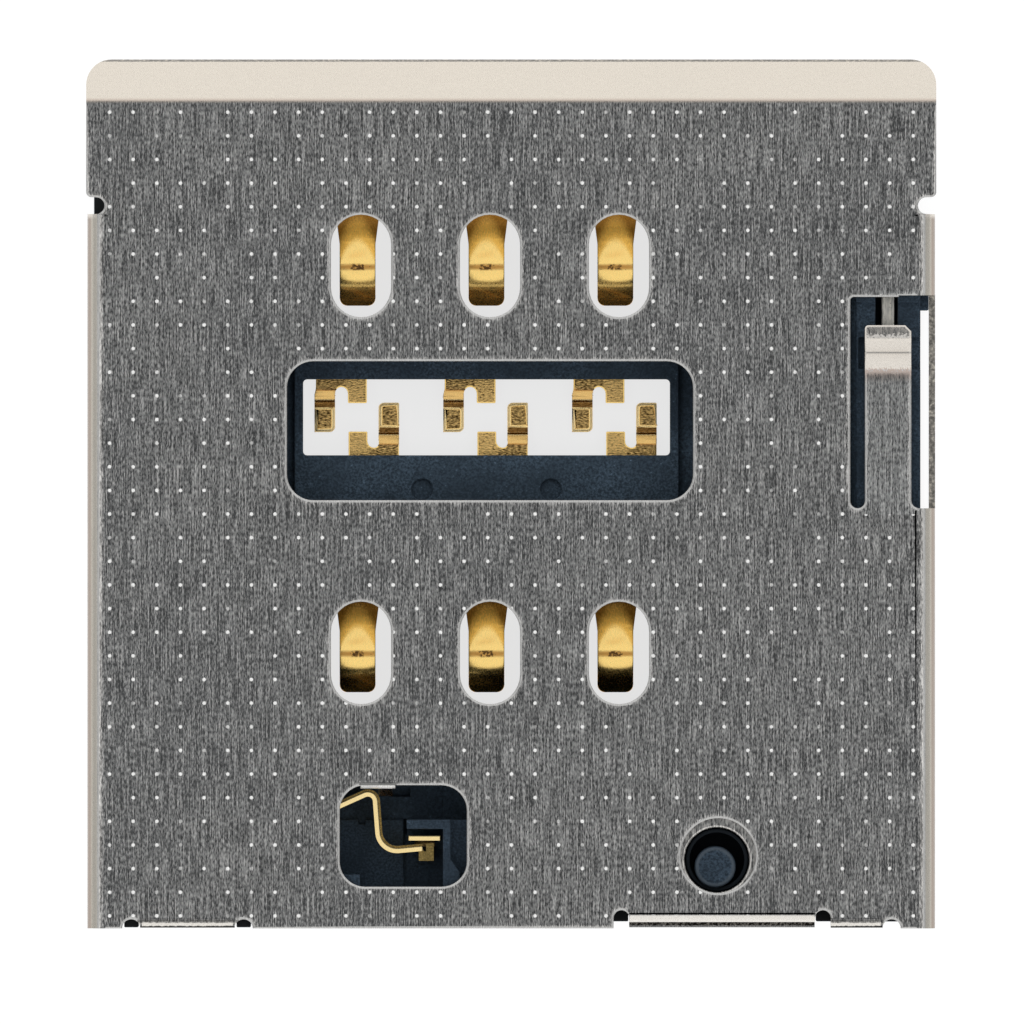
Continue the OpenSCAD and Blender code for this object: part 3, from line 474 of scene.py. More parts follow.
def steel_cut(settings):
    """Sheared edge of the sheet: coarse and slightly brown, and darker, partly as the rough cut and partly as
    painted shade for the dark surroundings it reflects.
    """
    material, t, shader, place = new_material("Sheared steel edge")
    specks = t.group(speck_group(), Place=place, Size=0.06 * MM, Share=0.5)
    cloud = specks["Cloud"]
    colour = t.tint(t.step(cloud, 0.3, 0.7), settings.steel_cut, 0.6, 1.5)
    colour = t.blend(specks["Mask"], colour, (0.62, 0.58, 0.50))
    t.surface(shader, colour, 1.0, t.step(cloud, 0.3, 0.7, 0.42, 0.62), cloud, 6e-6)
    return material


def moulded_plastic(settings):
    """Navy-black moulded plastic with a fine eroded skin."""
    material, t, shader, place = new_material("Moulded black plastic")
    x, y, _ = t.millimetres(place)
    specks = t.group(speck_group(), Place=place, Size=0.045 * MM, Share=0.22)
    cloud = specks["Cloud"]
    plastic = settings.plastic
    colour = t.tint(t.step(t.noise(place, 900.0, 3.0, 0.55), 0.3, 0.7), plastic, 0.70, 1.30)
    colour = t.blend(t.step(cloud, 0.34, 0.66), [c * 0.42 for c in plastic], colour)
    colour = t.blend(specks["Mask"], colour, [c * 2.6 for c in plastic])

    # Painted light: the rear of the platform and the long slot are painted paler, lifting them out of their
    # shade
    rear = t.both(t.under(y, 0.9, 1.6), t.near(y, 1.0, 1.2), t.math("LESS_THAN", x, 4.5))
    slot = t.both(t.near(x, 6.5, 0.28), t.near(y, CUTOUT_Y, 2.3))
    painted_light_and_shade = t.both(t.either(rear, slot), 0.75)
    colour = t.blend(painted_light_and_shade, colour, t.blend(1.0, colour, (1.75, 1.72, 1.66), "MULTIPLY"))

    # Painted highlight ring on the pivot's pip, painted shade on the wall round it, and painted shade in the
    # reliefs
    away = t.away(t.math("SUBTRACT", x, PIP[0]), t.math("SUBTRACT", y, PIP[1]))
    ring = t.band(t.waver(away, cloud, 0.05), 0.30, 0.35, 0.37, 0.40)
    colour = t.blend(t.both(ring, 0.7), colour, (0.077, 0.0945, 0.112))
    # Painted shade: near-black in the moat round the pip
    wall = t.both(t.band(away, 0.385, 0.42, 0.84, 0.86), t.step(x, 3.2, 3.25))
    colour = t.blend(wall, colour, (0.009, 0.011, 0.013))
    # Painted shade: near-black on upward faces behind the rear edge and in the side reliefs
    side = t.both(t.math("GREATER_THAN", t.math("ABSOLUTE", x), 7.9), t.near(y, RELIEF_Y, 0.3))
    relief_shade = t.both(t.either(t.math("LESS_THAN", y, -8.10), side), t.step(t.upward(), 0.4, 0.6))
    colour = t.blend(relief_shade, colour, (0.0095, 0.0095, 0.0090))
    rough = t.either(wall, relief_shade, t.step(cloud, 0.3, 0.7, 0.46, 0.66))
    t.surface(shader, colour, 0.0, rough, cloud, 5e-6)
    shader.inputs["Specular IOR Level"].default_value = 0.25
    shader.inputs["Specular Tint"].default_value = (0.62, 0.80, 1.0, 1.0)
    return material


def contact_gold(settings):
    """Gold plate: smooth tongues and bends with a painted dark crease, matt and grainy tails, and painted
    shade and highlights on both.
    """
    material, t, shader, place = new_material("Gold plated strip")
    x, y, z = t.millimetres(place)
    upward = t.upward()
    marks = t.group(brush_group(), Place=place, Width=0.030 * MM, Length=0.4 * MM)
    streak, patch = marks["Streak"], marks["Patch"]
    spread = t.add("ShaderNodeMapping")
    spread.inputs["Scale"].default_value = (0.40, 1.0, 1.0)
    t.feed(spread.inputs["Vector"], place)
    grain = t.step(t.noise(spread.outputs[0], 1.0 / (0.026 * MM), 1.0), 0.29, 0.71, smooth=False)

    # Matt tails with a slope, a drop, a valley and pale edges; painted shade darkens the slope a little and
    # the drop and valley more, and the pale edges are painted highlights
    tail = t.under(z, 0.27, 0.34)
    low = t.both(tail, t.step(upward, 0.985, 0.995))
    column = t.math("FRACT", t.math("DIVIDE", t.total(x, 27.158), COLUMN_PITCH))
    column = t.math("SUBTRACT", column, 0.5)
    off = t.math("ABSOLUTE", column)
    stub = t.math("LESS_THAN", off, 0.092)
    contrast = t.math("SUBTRACT", 1.25, t.both(stub, 0.85))
    matt = t.blend(t.math("POWER", grain, contrast), settings.gold_low, settings.gold_high)
    # Painted shade: level faces take the deeper orange level shade, sloped faces the plain gold
    tone = t.blend(t.step(upward, 0.955, 0.985), t.tint(streak, settings.gold, 0.95, 1.04),
                   t.tint(streak, settings.gold_level_shade, 0.86, 1.0))
    colour = t.blend(low, tone, matt)
    along = t.both(t.math("SUBTRACT", y, TAIL_Y), t.math("SIGN", t.both(column, -1.0)))
    arm = t.both(t.step(off, 0.166, 0.170), tail)
    valley = t.both(arm, t.band(along, 0.192, 0.206, 0.285, 0.305))
    slope = t.both(arm, t.band(along, 0.30, 0.33, 0.54, 0.60))
    colour = t.blend(slope, colour, t.blend(1.0, colour, (0.80, 0.74, 0.78), "MULTIPLY"))
    colour = t.blend(valley, colour, t.blend(grain, (0.16, 0.075, 0.018), (0.36, 0.19, 0.055)))
    drop = t.both(t.under(upward, 0.62, 0.74), t.near(z, 0.140, 0.036))
    colour = t.blend(drop, colour, (0.10, 0.05, 0.012))
    # Painted highlights: pale, partly diffuse rims round the pads and along the strip edges
    pad = t.both(t.under(z, 0.110, 0.120), t.under(upward, 0.93, 0.99), t.rest(valley))
    strip = t.both(t.step(z, 0.17, 0.18), tail, t.under(upward, 0.80, 0.87))
    edge = t.either(pad, strip)
    colour = t.blend(edge, colour, (1.0, 0.77, 0.39))

    # Painted shade towards the root and the free end of each tongue, and painted light on a partly diffuse
    # band of the slope towards the root
    rows = [t.math("SUBTRACT", y, at) for at in ROWS]
    ahead = [t.waver(r, patch, -0.12) for r in rows]
    bow = t.both(off, off, 22.0)
    bowed = [t.total(a, bow) for a in ahead]
    high = t.step(z, 0.3, 0.4)
    root_shade = t.either(*[
        t.both(t.step(b, 0.72, 1.10), t.math("LESS_THAN", a, 2.0)) for a, b in zip(ahead, bowed)])
    end = t.either(*[t.both(t.under(a, -0.52, -0.30), t.math("GREATER_THAN", a, -1.5)) for a in ahead])
    lit_slope = t.both(high, t.either(*[
        t.both(t.step(b, 0.44, 0.64), t.under(a, 0.84, 1.10)) for a, b in zip(ahead, bowed)]))
    colour = t.blend(t.both(lit_slope, 0.9), colour, (1.0, 0.56, 0.095))
    colour = t.blend(t.both(root_shade, high), colour, settings.gold_root_shade)
    colour = t.blend(t.both(end, high), colour, settings.gold_end_shade)

    # Painted shade along the crease of the contact point, with darker painted spots
    crest = t.math("MINIMUM", *[t.math("ABSOLUTE", r) for r in rows])
    line = t.both(t.under(t.waver(crest, patch, 0.05), 0.035, 0.080), t.step(z, 0.9, 0.95))
    colour = t.blend(t.both(line, 0.45), colour, (0.58, 0.31, 0.085))
    spot = t.noise(place, 1.0 / (0.045 * MM), 2.0, 0.6)
    spot = t.total(spot, t.both(t.under(off, 0.035, 0.068), 0.20))
    painted_light_and_shade = t.both(line, t.step(spot, 0.60, 0.74))
    colour = t.blend(painted_light_and_shade, colour, (0.130, 0.066, 0.024))
    metal = t.rest(t.either(t.both(edge, 0.6), t.both(lit_slope, 0.72)))
    rough = t.total(t.step(streak, 0.0, 1.0, 0.22, 0.31), t.both(low, t.step(grain, 0.0, 1.0, 0.06, 0.22)),
                    t.both(line, 0.20), t.both(painted_light_and_shade, 0.1))
    fine = t.total(t.both(grain, low), t.both(streak, high, 0.02))
    t.surface(shader, colour, metal, rough, fine, 7e-6)
    shader.inputs["Specular Tint"].default_value = (1.0, 0.70, 0.30, 1.0)
    return material


def switch_gold(settings):
    """Gold plate on edge: matt upper edges painted paler as a highlight over darker sides, and a matt foot.
    """
    material, t, shader, place = new_material("Gold switch strip")
    z = t.millimetres(place)[2]
    cloud = t.group(speck_group(), Place=place, Size=0.035 * MM, Share=0.35)["Cloud"]
    mix = t.step(cloud, 0.3, 0.7)
    # The upper edges are matt, and their paler colour over the darker sides is also a painted highlight
    colour = t.blend(t.step(z, 0.82, 0.86), t.tint(mix, settings.gold, 0.62, 1.0),
                     t.tint(mix, settings.gold_edge_highlight, 0.90, 1.0))
    foot = t.under(z, 0.13, 0.20)
    colour = t.blend(foot, colour, t.blend(mix, (0.62, 0.38, 0.13), (1.0, 0.72, 0.30)))
    metal = t.rest(t.both(foot, 0.7))
    t.surface(shader, colour, metal, t.step(cloud, 0.3, 0.7, 0.16, 0.24), cloud, 2e-6)
    return material


def lever_steel(settings):
    """Stamped lever steel with short brush marks."""
    material, t, shader, place = new_material("Stamped lever steel")
    streak = t.group(brush_group(), Place=place, Width=0.03 * MM, Length=0.3 * MM)["Streak"]
    specks = t.group(speck_group(), Place=place, Size=0.05 * MM, Share=0.3)
    colour = t.tint(t.step(streak, 0.0, 1.0), settings.lever, 0.55, 1.5)
    colour = t.blend(specks["Mask"], colour, [c * 0.6 for c in settings.lever])
    t.surface(shader, colour, 1.0, t.step(streak, 0.0, 1.0, 0.24, 0.42), streak, 1.2e-6)
    return material


def rod_steel(settings):
    """Blanked rod steel, rolled along its length."""
    material, t, shader, place = new_material("Blanked rod steel")
    streak = t.group(brush_group(), Place=place, Width=0.045 * MM, Length=0.9 * MM)["Streak"]
    specks = t.group(speck_group(), Place=place, Size=0.045 * MM, Share=0.4)
    colour = t.tint(t.step(streak, 0.0, 1.0), settings.rod, 0.75, 1.2)
    colour = t.blend(specks["Mask"], colour, [c * 0.55 for c in settings.rod])
    t.surface(shader, colour, 1.0, t.step(streak, 0.0, 1.0, 0.56, 0.72), specks["Cloud"], 3e-6)
    return material


# Meshes

def open_copy(node):
    """The node's mesh in millimetres, its loose triangles merged into whole faces."""
    bm = bmesh.new()
    bm.from_mesh(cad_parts[node].data)
    bmesh.ops.scale(bm, vec=(1 / MM,) * 3, verts=bm.verts)
    bmesh.ops.remove_doubles(bm, verts=bm.verts, dist=1e-4)
    return bm


def sharp_edges(bm, degrees=35.0, convex=True):
    """Edges between two faces that meet at more than the given turn."""
    found = []
    for edge in bm.edges:
        if len(edge.link_faces) == 2 and edge.calc_face_angle(0.0) > math.radians(degrees):
            if edge.is_convex or not convex:
                found.append(edge)
    return found


def round_edges(bm, edges, width, segments=2, clamp=False):
    """Rounds edges by a width in metres."""
    if edges:
        bmesh.ops.bevel(
            bm, geom=edges, offset=width / MM, offset_type="OFFSET", segments=segments, profile=0.5,
            affect="EDGES", clamp_overlap=clamp, material=-1, loop_slide=False)


def skin_of(bm, start, degrees=35.0):
    """Faces reached from the start faces without crossing a sharp edge."""
    found, todo = set(start), list(start)
    while todo:
        for edge in todo.pop().edges:
            if edge.calc_face_angle(0.0) < math.radians(degrees):
                for face in edge.link_faces:
                    if face not in found:
                        found.add(face)
                        todo.append(face)
    return found


def roll_rim(bm, skin, width, depth, top):
    """Rolls the rim of a skin into the sheet, with three rings along its cut edges but not its folds."""
    level = [f for f in skin if f.normal.z > 0.9999 and f.calc_center_median().z > top - 1e-3]
    rings = []
    for share in (0.2, 0.3, 0.5):
        made = bmesh.ops.inset_region(
            bm, faces=list(skin), use_boundary=True, use_even_offset=False, thickness=width / MM * share)
        rings.append(set(made["faces"]))
        untangle(bm, rings[-1], skin)
    bm.normal_update()
    whole = skin.union(*rings)
    moves, shares = {}, {}
    for index, fall in enumerate((1.0, 0.4, 0.134)):
        found = {}
        for vert in {v for face in rings[index] for v in face.verts}:
            near = set(vert.link_faces)
            if index:
                found[vert] = max((shares.get(e.other_vert(vert), -1.0) for e in vert.link_edges))
            else:
                outer = near - whole
                fold = not outer or any(f.normal.z > 0.6 for f in outer)
                found[vert] = -1.0 if not outer else 0.0 if fold else 0.5 if vert.co.z < top - 1e-3 else 1.0
        found = {v: share for v, share in found.items() if share >= 0.0 and v not in moves}
        for vert, share in found.items():
            normal = sum((f.normal * f.calc_area() for f in set(vert.link_faces) & whole), Vector())
            moves[vert] = normal.normalized() * (depth / MM * fall * share)
        shares = found
    for vert, move in moves.items():
        vert.co -= move
    refill(bm, level, top)


def untangle(bm, ring, skin):
    """Draws the inner vertices of turned faces at the rear edge back to the ring's outer border."""
    inner = {v for f in ring for v in f.verts if skin.intersection(v.link_faces)}
    home = {}
    for edge in {e for f in ring for e in f.edges}:
        inside = [v for v in edge.verts if v in inner]
        if len(inside) == 1:
            home[inside[0]] = edge.other_vert(inside[0])
    for _ in range(9):
        bm.normal_update()
        turned = [f for f in ring if f.normal.z < 0.4 or f.calc_area() < 1e-7]
        for vert in {v for f in turned for v in f.verts if v in home and v.co.y < REAR_EDGE}:
            vert.co = home[vert].co.lerp(vert.co, 0.6)


def refill(bm, faces, height):
    """Fills a level area anew inside its border, so that no sliver of it is turned over."""
    bmesh.ops.delete(bm, geom=list(faces), context="FACES_ONLY")
    bmesh.ops.delete(bm, geom=[e for e in bm.edges if not e.link_faces], context="EDGES")
    border = [e for e in bm.edges if len(e.link_faces) == 1]
    for vert in {v for e in border for v in e.verts}:
        vert.co.z = height
    bmesh.ops.triangle_fill(bm, use_beauty=True, use_dissolve=False, edges=border, normal=(0.0, 0.0, 1.0))
    bm.normal_update()
    if any(len(e.link_faces) != 2 for e in bm.edges):
        raise RuntimeError("the plate was not closed")


def close_copy(bm, name, node, body, materials, smooth=32.0):
    """Makes the dressed piece from a mesh in millimetres and puts it in place of its node."""
    for face in bm.faces:
        face.smooth = True
    for edge in bm.edges:
        turn = edge.calc_face_angle(math.pi)
        level = {abs(f.normal.z) > 0.9999 for f in edge.link_faces}
        edge.smooth = turn < math.radians(0.5 if len(level) > 1 else smooth)
    bmesh.ops.scale(bm, vec=(MM,) * 3, verts=bm.verts)
    mesh = bpy.data.meshes.new(name)
    bm.to_mesh(mesh)
    bm.free()
    for material in materials:
        mesh.materials.append(material)
    piece = bpy.data.objects.new(name, mesh)
    bpy.context.scene.collection.objects.link(piece)
    even = piece.modifiers.new("Even shading", "WEIGHTED_NORMAL")
    even.keep_sharp = True
    even.weight = 80
    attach(piece, body)
    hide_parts(node)


# Operators

class SOCKET_OT_shell(Operator):
    """Dress the folded steel shell: die-rolled upper edges, sheared cut faces and brushed sheet"""

    bl_idname = "socket.build_shell"
    bl_label = "Build shell"

    def execute(self, context):
        finish = context.scene.socket_finish
        bm = open_copy("shell")
        top = max(v.co.z for v in bm.verts if abs(v.co.y) < 5.0)
        level = [f for f in bm.faces if f.normal.z > 0.999 and abs(f.calc_center_median().y) < 5.0
                 and f.calc_center_median().z > 1.3]
        skin = {f for f in skin_of(bm, level) if f.normal.z > 0.9999 and f.calc_center_median().z > top - 1e-3
                or self.is_finger(f)}
        roll_rim(bm, skin, finish.die_roll, finish.roll_depth, top)
        for face in bm.faces:
            if self.is_cut(face):
                face.material_index = 1
        close_copy(
            bm, "shell_sheet", "shell", "socket", (steel_sheet(finish), steel_cut(finish)))
        return {"FINISHED"}

    @staticmethod
    def is_finger(face):
        """A face of the sprung finger."""
        centre = face.calc_center_median()
        return FINGER_X[0] < centre.x < FINGER_X[1] and FINGER_Y[0] < centre.y < FINGER_Y[1]

    @staticmethod
    def is_cut(face):
        """A sheared face: upright within the plate, at the lip's front, or level on top of a wall."""
        centre = face.calc_center_median()
        if centre.z > 1.26:
            return abs(face.normal.z) < 0.25 or (centre.y > 8.4 and face.normal.y > 0.8)
        return face.normal.z > 0.9 and abs(centre.x) > 8.2 and centre.z > 1.0


class SOCKET_OT_base(Operator):
    """Dress the moulded base with rounded mould edges and an eroded skin"""

    bl_idname = "socket.build_base"
    bl_label = "Build base"

    def execute(self, context):
        finish = context.scene.socket_finish
        bm = open_copy("base")
        self.close_post(bm)
        near = {v for v in bm.verts if (v.co.xy - Vector(PIP)).length < 0.45}
        pip = max(v.co.z for v in near) - 0.001
        rim = [e for e in sharp_edges(bm) if all(v in near and v.co.z > pip for v in e.verts)]
        round_edges(bm, rim, finish.pip_edge, 4)
        round_edges(bm, [e for e in sharp_edges(bm) if not self.in_nest(e)], finish.mould_edge, 2)
        close_copy(bm, "base_moulding", "base", "socket", (moulded_plastic(finish),))
        return {"FINISHED"}

    @staticmethod
    def close_post(bm):
        """Draws the slot in the floor up to the post of the fixed strip, so that no light shows there."""
        for vert in bm.verts:
            x, y = vert.co.x - POST[0], vert.co.y - POST[1]
            if abs(y) < 0.12 and abs(abs(x) - POST_HALF) < 0.002:
                vert.co.x += POST_GAP if x < 0.0 else -POST_GAP
                if y > 0.11:
                    vert.co.y -= POST_GAP

    @staticmethod
    def in_nest(edge):
        """An edge close to the fixed strip of the switch, where the walls are too thin to round."""
        return all(
            NEST_X[0] < v.co.x < NEST_X[1] and NEST_Y[0] < v.co.y < NEST_Y[1] for v in edge.verts)


class SOCKET_OT_contacts(Operator):
    """Dress the six stamped contacts with rounded strip edges and gold plate with painted shade and
    highlights
    """

    bl_idname = "socket.build_contacts"
    bl_label = "Build contacts"

    def execute(self, context):
        finish = context.scene.socket_finish
        gold = contact_gold(finish)
        for node in CONTACTS:
            bm = open_copy(node)
            _, row, column = node.split("_")
            turn = -1.0 if row == "rear" else 1.0
            self.even_tongue(bm, ROWS[row == "rear"])
            self.step_tail(bm, COLUMNS[column], turn)
            pad = [e for e in sharp_edges(bm, 50.0) if all(
                0.09 < v.co.z < 0.12 and (v.co.y - TAIL_Y) * turn < 0.2 for v in e.verts)]
            round_edges(bm, pad, finish.pad_edge, 4)
            round_edges(bm, sharp_edges(bm, 45.0), finish.strip_edge, 2)
            close_copy(bm, f"{node}_strip", node, "socket", (gold,))
        return {"FINISHED"}

    @staticmethod
    def step_tail(bm, column, turn, pitch=0.012):
        """Gives a tail a long slope, a short drop, a level valley and the raised border of its pad."""
        slopes = ((0.56, 0.0), (0.53, 12.0), (0.48, 20.0), (0.36, 27.0), (0.325, 62.0), (0.295, 62.0),
                  (0.27, 0.0), (0.205, 0.0), (0.195, -18.0), (0.16, -18.0), (0.148, 0.0))

        def ahead(vert):
            return (vert.co.y - TAIL_Y) * turn

        def beside(vert):
            side = (vert.co.x - column) * turn
            return side < -TAIL_SIDE and vert.co.z < LOW_STRIP and ahead(vert) < TAIL_FROM

        def own(vert):
            return beside(vert) and ahead(vert) > TAIL_TO

        start = slopes[0][0]
        cuts = [start - pitch * i for i in range(35)]
        for cut in cuts:
            faces = {f for v in bm.verts if own(v) for f in v.link_faces}
            geom = {g for f in faces for g in (f, *f.edges, *f.verts)}
            bmesh.ops.bisect_plane(
                bm, geom=list(geom), dist=1e-4,
                plane_co=(0.0, TAIL_Y + turn * cut, 0.0), plane_no=(0.0, 1.0, 0.0))
        arm = [v for v in bm.verts if own(v)]
        tops = [max(v.co.z for v in arm if abs(ahead(v) - cut) < 1e-3) for cut in cuts]
        made = [tops[0]]
        for cut in cuts[:-1]:
            for (a, tilt_a), (b, tilt_b) in zip(slopes, slopes[1:]):
                middle = cut - pitch / 2
                if b <= middle <= a:
                    tilt = tilt_a + (tilt_b - tilt_a) * (a - middle) / (a - b)
            made.append(made[-1] - pitch * math.tan(math.radians(tilt)))
        share = (tops[0] - tops[-1]) / (made[0] - made[-1])
        made = [made[0] - (made[0] - z) * share for z in made]
        for vert in arm:
            at = (start - ahead(vert)) / pitch
            if 0.0 <= at < len(cuts) - 1:
                i = int(at)
                old = tops[i] + (tops[i + 1] - tops[i]) * (at - i)
                new = made[i] + (made[i + 1] - made[i]) * (at - i)
                vert.co.z = new if vert.co.z > old - 0.04 else max(0.0, new - 0.1)
        for vert in bm.verts:
            if beside(vert):
                share = min(1.0, (TAIL_FROM - ahead(vert)) / 0.17)
                vert.co.x += share * ((vert.co.x - column + turn * 0.633) * 0.12 - 0.018)
        bm.normal_update()

    @staticmethod
    def even_tongue(bm, row, pitch=0.04):
        """Cuts the tongue finely across its length and evens out its two knees, but not its crease."""
        count = 42
        cuts = [row - 0.72 + pitch * i for i in range(count)]
        for cut in cuts:
            faces = [f for f in bm.faces if min(v.co.z for v in f.verts) > 0.3 and abs(
                f.calc_center_median().y - row) < 1.2]
            geom = {g for f in faces for g in (f, *f.edges, *f.verts)}
            bmesh.ops.bisect_plane(
                bm, geom=list(geom), dist=1e-4, plane_co=(0.0, cut, 0.0), plane_no=(0.0, 1.0, 0.0))
        tops = []
        for cut in cuts:
            tops.append(max(v.co.z for v in bm.verts if abs(v.co.y - cut) < 1e-3 and v.co.z > 0.3))
        change = []
        for i, cut in enumerate(cuts):
            spread = 0.14 if cut > row else 0.09
            weights = [math.exp(-0.5 * ((c - cut) / spread) ** 2) for c in cuts]
            even = sum(w * z for w, z in zip(weights, tops)) / sum(weights)
            keep = min(1.0, max(0.0, (abs(cut - row) - 0.10) / 0.12)) * min(1.0, i / 4, (count - 1 - i) / 6)
            change.append((even - tops[i]) * keep)
        for vert in bm.verts:
            at = (vert.co.y - cuts[0]) / pitch
            if 0.0 < at < count - 1 and vert.co.z > 0.3:
                i = int(at)
                vert.co.z += change[i] + (change[i + 1] - change[i]) * (at - i)
        bm.normal_update()


class SOCKET_OT_switch(Operator):
    """Dress the two strips of the tray-detect switch"""

    bl_idname = "socket.build_switch"
    bl_label = "Build detect switch"

    def execute(self, context):
        finish = context.scene.socket_finish
        gold = switch_gold(finish)
        for node, facing in (("detect_spring", (-0.6, -0.8, 0.0)), ("detect_terminal", (0.0, -1.0, 0.0))):
            bm = open_copy(node)
            top = max(v.co.z for v in bm.verts) - 0.001
            rim = [e for e in sharp_edges(bm) if min(v.co.z for v in e.verts) > top]
            inner = [e for e in rim if any(f.normal.dot(Vector(facing)) > 0.3 for f in e.link_faces)]
            for vert in {v for e in inner for v in e.verts}:
                vert.co.z -= 0.030
            bm.normal_update()
            long = [e for e in rim if e not in inner and e.calc_length() > 0.02]
            round_edges(bm, long, 0.020 * MM, 2, clamp=True)
            round_edges(bm, sharp_edges(bm, 60.0), 0.010 * MM, 2, clamp=True)
            close_copy(bm, f"{node}_strip", node, "socket", (gold,), smooth=15.0)
        return {"FINISHED"}


class SOCKET_OT_eject(Operator):
    """Dress the eject lever and the push rod"""

    bl_idname = "socket.build_eject"
    bl_label = "Build lever and rod"

    def execute(self, context):
        finish = context.scene.socket_finish
        for node, body, slot, width, material in (
            ("eject_lever", "lever", "lever_steel", finish.lever_edge, lever_steel(finish)),
            ("push_rod", "rod", "rod_steel", finish.rod_edge, rod_steel(finish)),
        ):
            bm = open_copy(node)
            round_edges(bm, sharp_edges(bm), width, 3)
            close_copy(bm, f"{node}_blank", node, body, (material,))
        return {"FINISHED"}


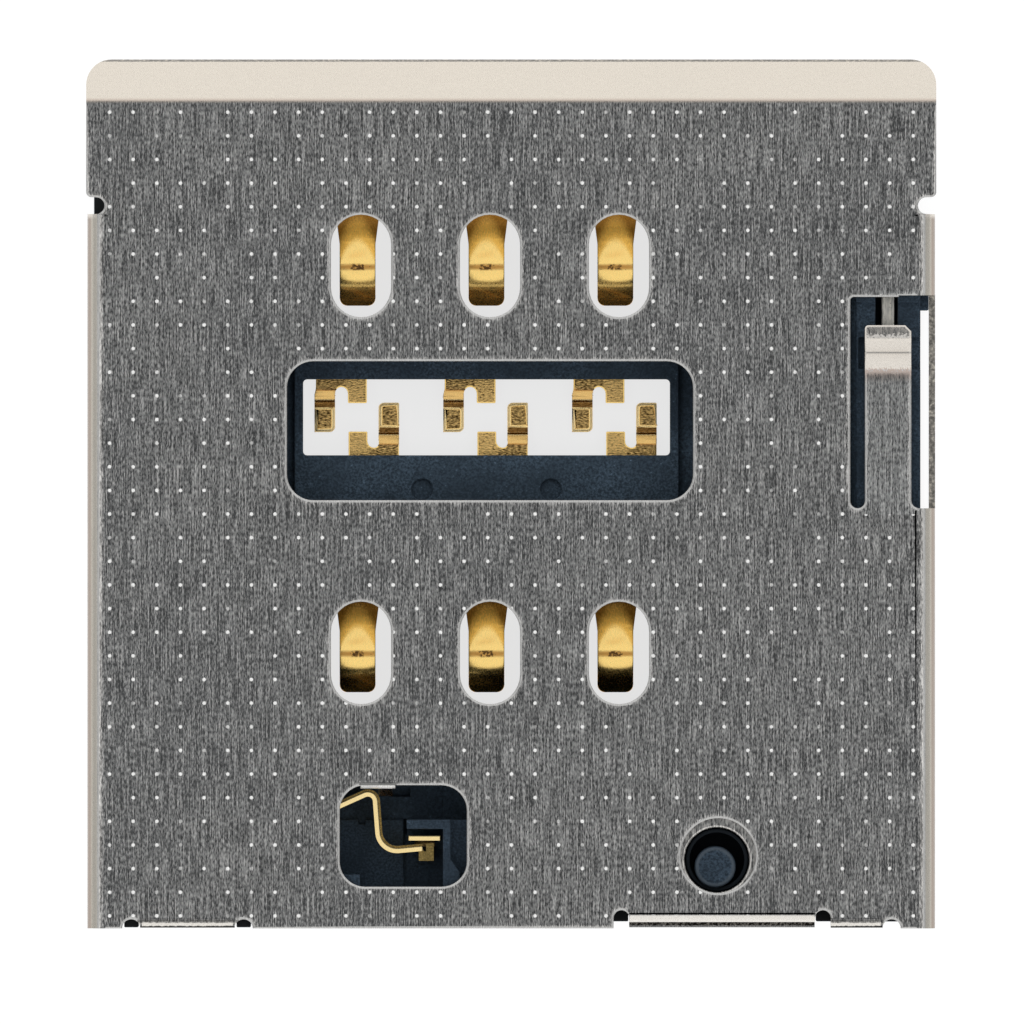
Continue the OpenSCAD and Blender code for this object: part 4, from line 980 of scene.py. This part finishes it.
class SOCKET_OT_stage(Operator):
    """Set the camera over the socket, with a white floor, a white surround and a dark card above"""

    bl_idname = "socket.build_stage"
    bl_label = "Build stage"

    def execute(self, context):
        scene = context.scene
        stage = scene.socket_stage
        scene.view_settings.view_transform = "Standard"
        self.camera(scene, stage)
        self.floor(scene, stage)
        self.card(scene, stage)
        self.surround(scene, stage)
        return {"FINISHED"}

    @staticmethod
    def seen(t):
        """One for rays that show the background: camera, mirror and glass rays."""
        path = t.add("ShaderNodeLightPath").outputs
        return t.either(path["Is Camera Ray"], path["Is Glossy Ray"], path["Is Transmission Ray"])

    def by_ray(self, t, lit, shown, output):
        """Joins what lights the socket and what is seen, split by the kind of ray."""
        either = t.add("ShaderNodeMixShader")
        t.links.new(self.seen(t), either.inputs[0])
        t.links.new(lit.outputs[0], either.inputs[1])
        t.links.new(shown.outputs[0], either.inputs[2])
        t.links.new(either.outputs[0], t.nodes[output].inputs["Surface"])

    @staticmethod
    def bare(name):
        """A material without a shader, and its tree maker."""
        material = bpy.data.materials.new(name)
        material.use_nodes = True
        t = Tree(material.node_tree)
        t.nodes.remove(t.nodes["Principled BSDF"])
        return material, t

    @staticmethod
    def camera(scene, stage):
        data = bpy.data.cameras.new("Socket camera")
        data.lens = stage.lens
        data.sensor_width = 36.0
        away = stage.view_width * stage.lens / data.sensor_width
        top = CAD_BOX[1].z - 0.3 * MM
        data.clip_start, data.clip_end = away * 0.2, away * 4.0
        camera = bpy.data.objects.new("Socket camera", data)
        camera.location = (*stage.view_centre, top + away)
        scene.collection.objects.link(camera)
        scene.camera = camera

    @staticmethod
    def place(scene, bm, name, material, to_camera=True):
        """A stage object from a mesh in metres."""
        mesh = bpy.data.meshes.new(name)
        bm.to_mesh(mesh)
        bm.free()
        mesh.materials.append(material)
        item = bpy.data.objects.new(name, mesh)
        item.visible_camera = to_camera
        scene.collection.objects.link(item)

    def white(self, name, tone, glow):
        """Matt white that shows the given glow, and its shadowed tone, to camera and mirror rays."""
        material, t = self.bare(name)
        plain = t.add("ShaderNodeBsdfDiffuse")
        plain.inputs["Color"].default_value = (0.8, 0.8, 0.8, 1.0)
        toned = t.add("ShaderNodeBsdfDiffuse")
        toned.inputs["Color"].default_value = (tone, tone, tone, 1.0)
        light = t.add("ShaderNodeEmission")
        light.inputs["Strength"].default_value = glow
        shown = t.add("ShaderNodeAddShader")
        t.links.new(toned.outputs[0], shown.inputs[0])
        t.links.new(light.outputs[0], shown.inputs[1])
        self.by_ray(t, plain, shown, "Material Output")
        return material

    def floor(self, scene, stage):
        """A wide white floor, and a small greyer sheet under the socket, painted shade that shows only
        through the openings.
        """
        for name, size, z, tone, glow in (
            ("floor", 3.0, -0.04 * MM, stage.floor_tone, stage.floor_glow),
            ("shade_sheet", 8.0 * MM, -0.02 * MM, stage.shade_sheet_tone, stage.shade_sheet_glow),
        ):
            bm = bmesh.new()
            bmesh.ops.create_grid(bm, x_segments=1, y_segments=1, size=size)
            bmesh.ops.translate(bm, vec=(0.0, 0.0, z), verts=bm.verts)
            self.place(scene, bm, name.capitalize(), self.white(f"White {name}", tone, glow))

    def fading(self, name, shade, measure, inner, outer):
        """A glow that fades from a shade to white along a measure of its place."""
        material, t = self.bare(name)
        x, y, _ = t.axes(t.add("ShaderNodeTexCoord").outputs["Object"])
        glow = t.add("ShaderNodeEmission")
        t.feed(glow.inputs["Color"], t.blend(t.step(measure(t, x, y), inner, outer), shade, WHITE))
        t.links.new(glow.outputs[0], t.nodes["Material Output"].inputs["Surface"])
        return material

    def card(self, scene, stage):
        """A dark card overhead that fades to white at its rim, and a grey card at each side."""
        inner = stage.card_height * math.tan(stage.card_inner)
        outer = stage.card_height * math.tan(stage.card_outer)
        material = self.fading(
            "Dark card", stage.card_shade, lambda t, x, y: t.away(x, y), inner, outer)
        bm = bmesh.new()
        bmesh.ops.create_circle(bm, cap_ends=True, segments=96, radius=outer)
        bmesh.ops.translate(bm, vec=(0.0, 0.0, stage.card_height), verts=bm.verts)
        self.place(scene, bm, "Dark card", material, to_camera=False)

        material = self.fading(
            "Grey side card", (stage.side_shade,) * 3, lambda t, x, y: t.math("ABSOLUTE", y), 0.12, 0.30)
        turn = Matrix.Rotation(math.radians(90), 3, "Y")
        bm = bmesh.new()
        for side in (-0.30, 0.30):
            made = bmesh.ops.create_grid(bm, x_segments=1, y_segments=1, size=0.30)["verts"]
            bmesh.ops.rotate(bm, verts=made, cent=(0.0, 0.0, 0.0), matrix=turn)
            bmesh.ops.translate(bm, vec=(side, 0.0, 0.0), verts=made)
        self.place(scene, bm, "Side cards", material, to_camera=False)

    def surround(self, scene, stage):
        """An even white all round, stronger as a light than it shows."""
        world = bpy.data.worlds.new("White surround")
        world.use_nodes = True
        t = Tree(world.node_tree)
        shown = t.nodes["Background"]
        fill = t.add("ShaderNodeBackground")
        for node, strength in ((shown, 1.0), (fill, stage.fill)):
            node.inputs["Color"].default_value = (*WHITE, 1.0)
            node.inputs["Strength"].default_value = strength
        self.by_ray(t, fill, shown, "World Output")
        scene.world = world


class SOCKET_PT_panel(Panel):
    """Lists the steps that build the socket"""

    bl_idname = "SOCKET_PT_panel"
    bl_label = "Card tray socket"
    bl_space_type = "VIEW_3D"
    bl_region_type = "UI"
    bl_category = "Socket"

    def draw(self, context):
        layout = self.layout
        for operator in OPERATORS:
            layout.operator(operator.bl_idname)
        for group in (context.scene.socket_finish, context.scene.socket_stage):
            box = layout.box()
            for key in group.__annotations__:
                box.prop(group, key)


OPERATORS = (
    SOCKET_OT_stage, SOCKET_OT_shell, SOCKET_OT_base, SOCKET_OT_contacts, SOCKET_OT_switch, SOCKET_OT_eject)
CLASSES = (SocketStageSettings, SocketFinishSettings, *OPERATORS, SOCKET_PT_panel)


def register():
    for item in CLASSES:
        bpy.utils.register_class(item)
    bpy.types.Scene.socket_stage = PointerProperty(type=SocketStageSettings)
    bpy.types.Scene.socket_finish = PointerProperty(type=SocketFinishSettings)


def unregister():
    del bpy.types.Scene.socket_finish
    del bpy.types.Scene.socket_stage
    for item in reversed(CLASSES):
        bpy.utils.unregister_class(item)


def main():
    register()
    bpy.ops.socket.build_stage()
    bpy.ops.socket.build_shell()
    bpy.ops.socket.build_base()
    bpy.ops.socket.build_contacts()
    bpy.ops.socket.build_switch()
    bpy.ops.socket.build_eject()
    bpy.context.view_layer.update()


if __name__ == "__main__":
    main()
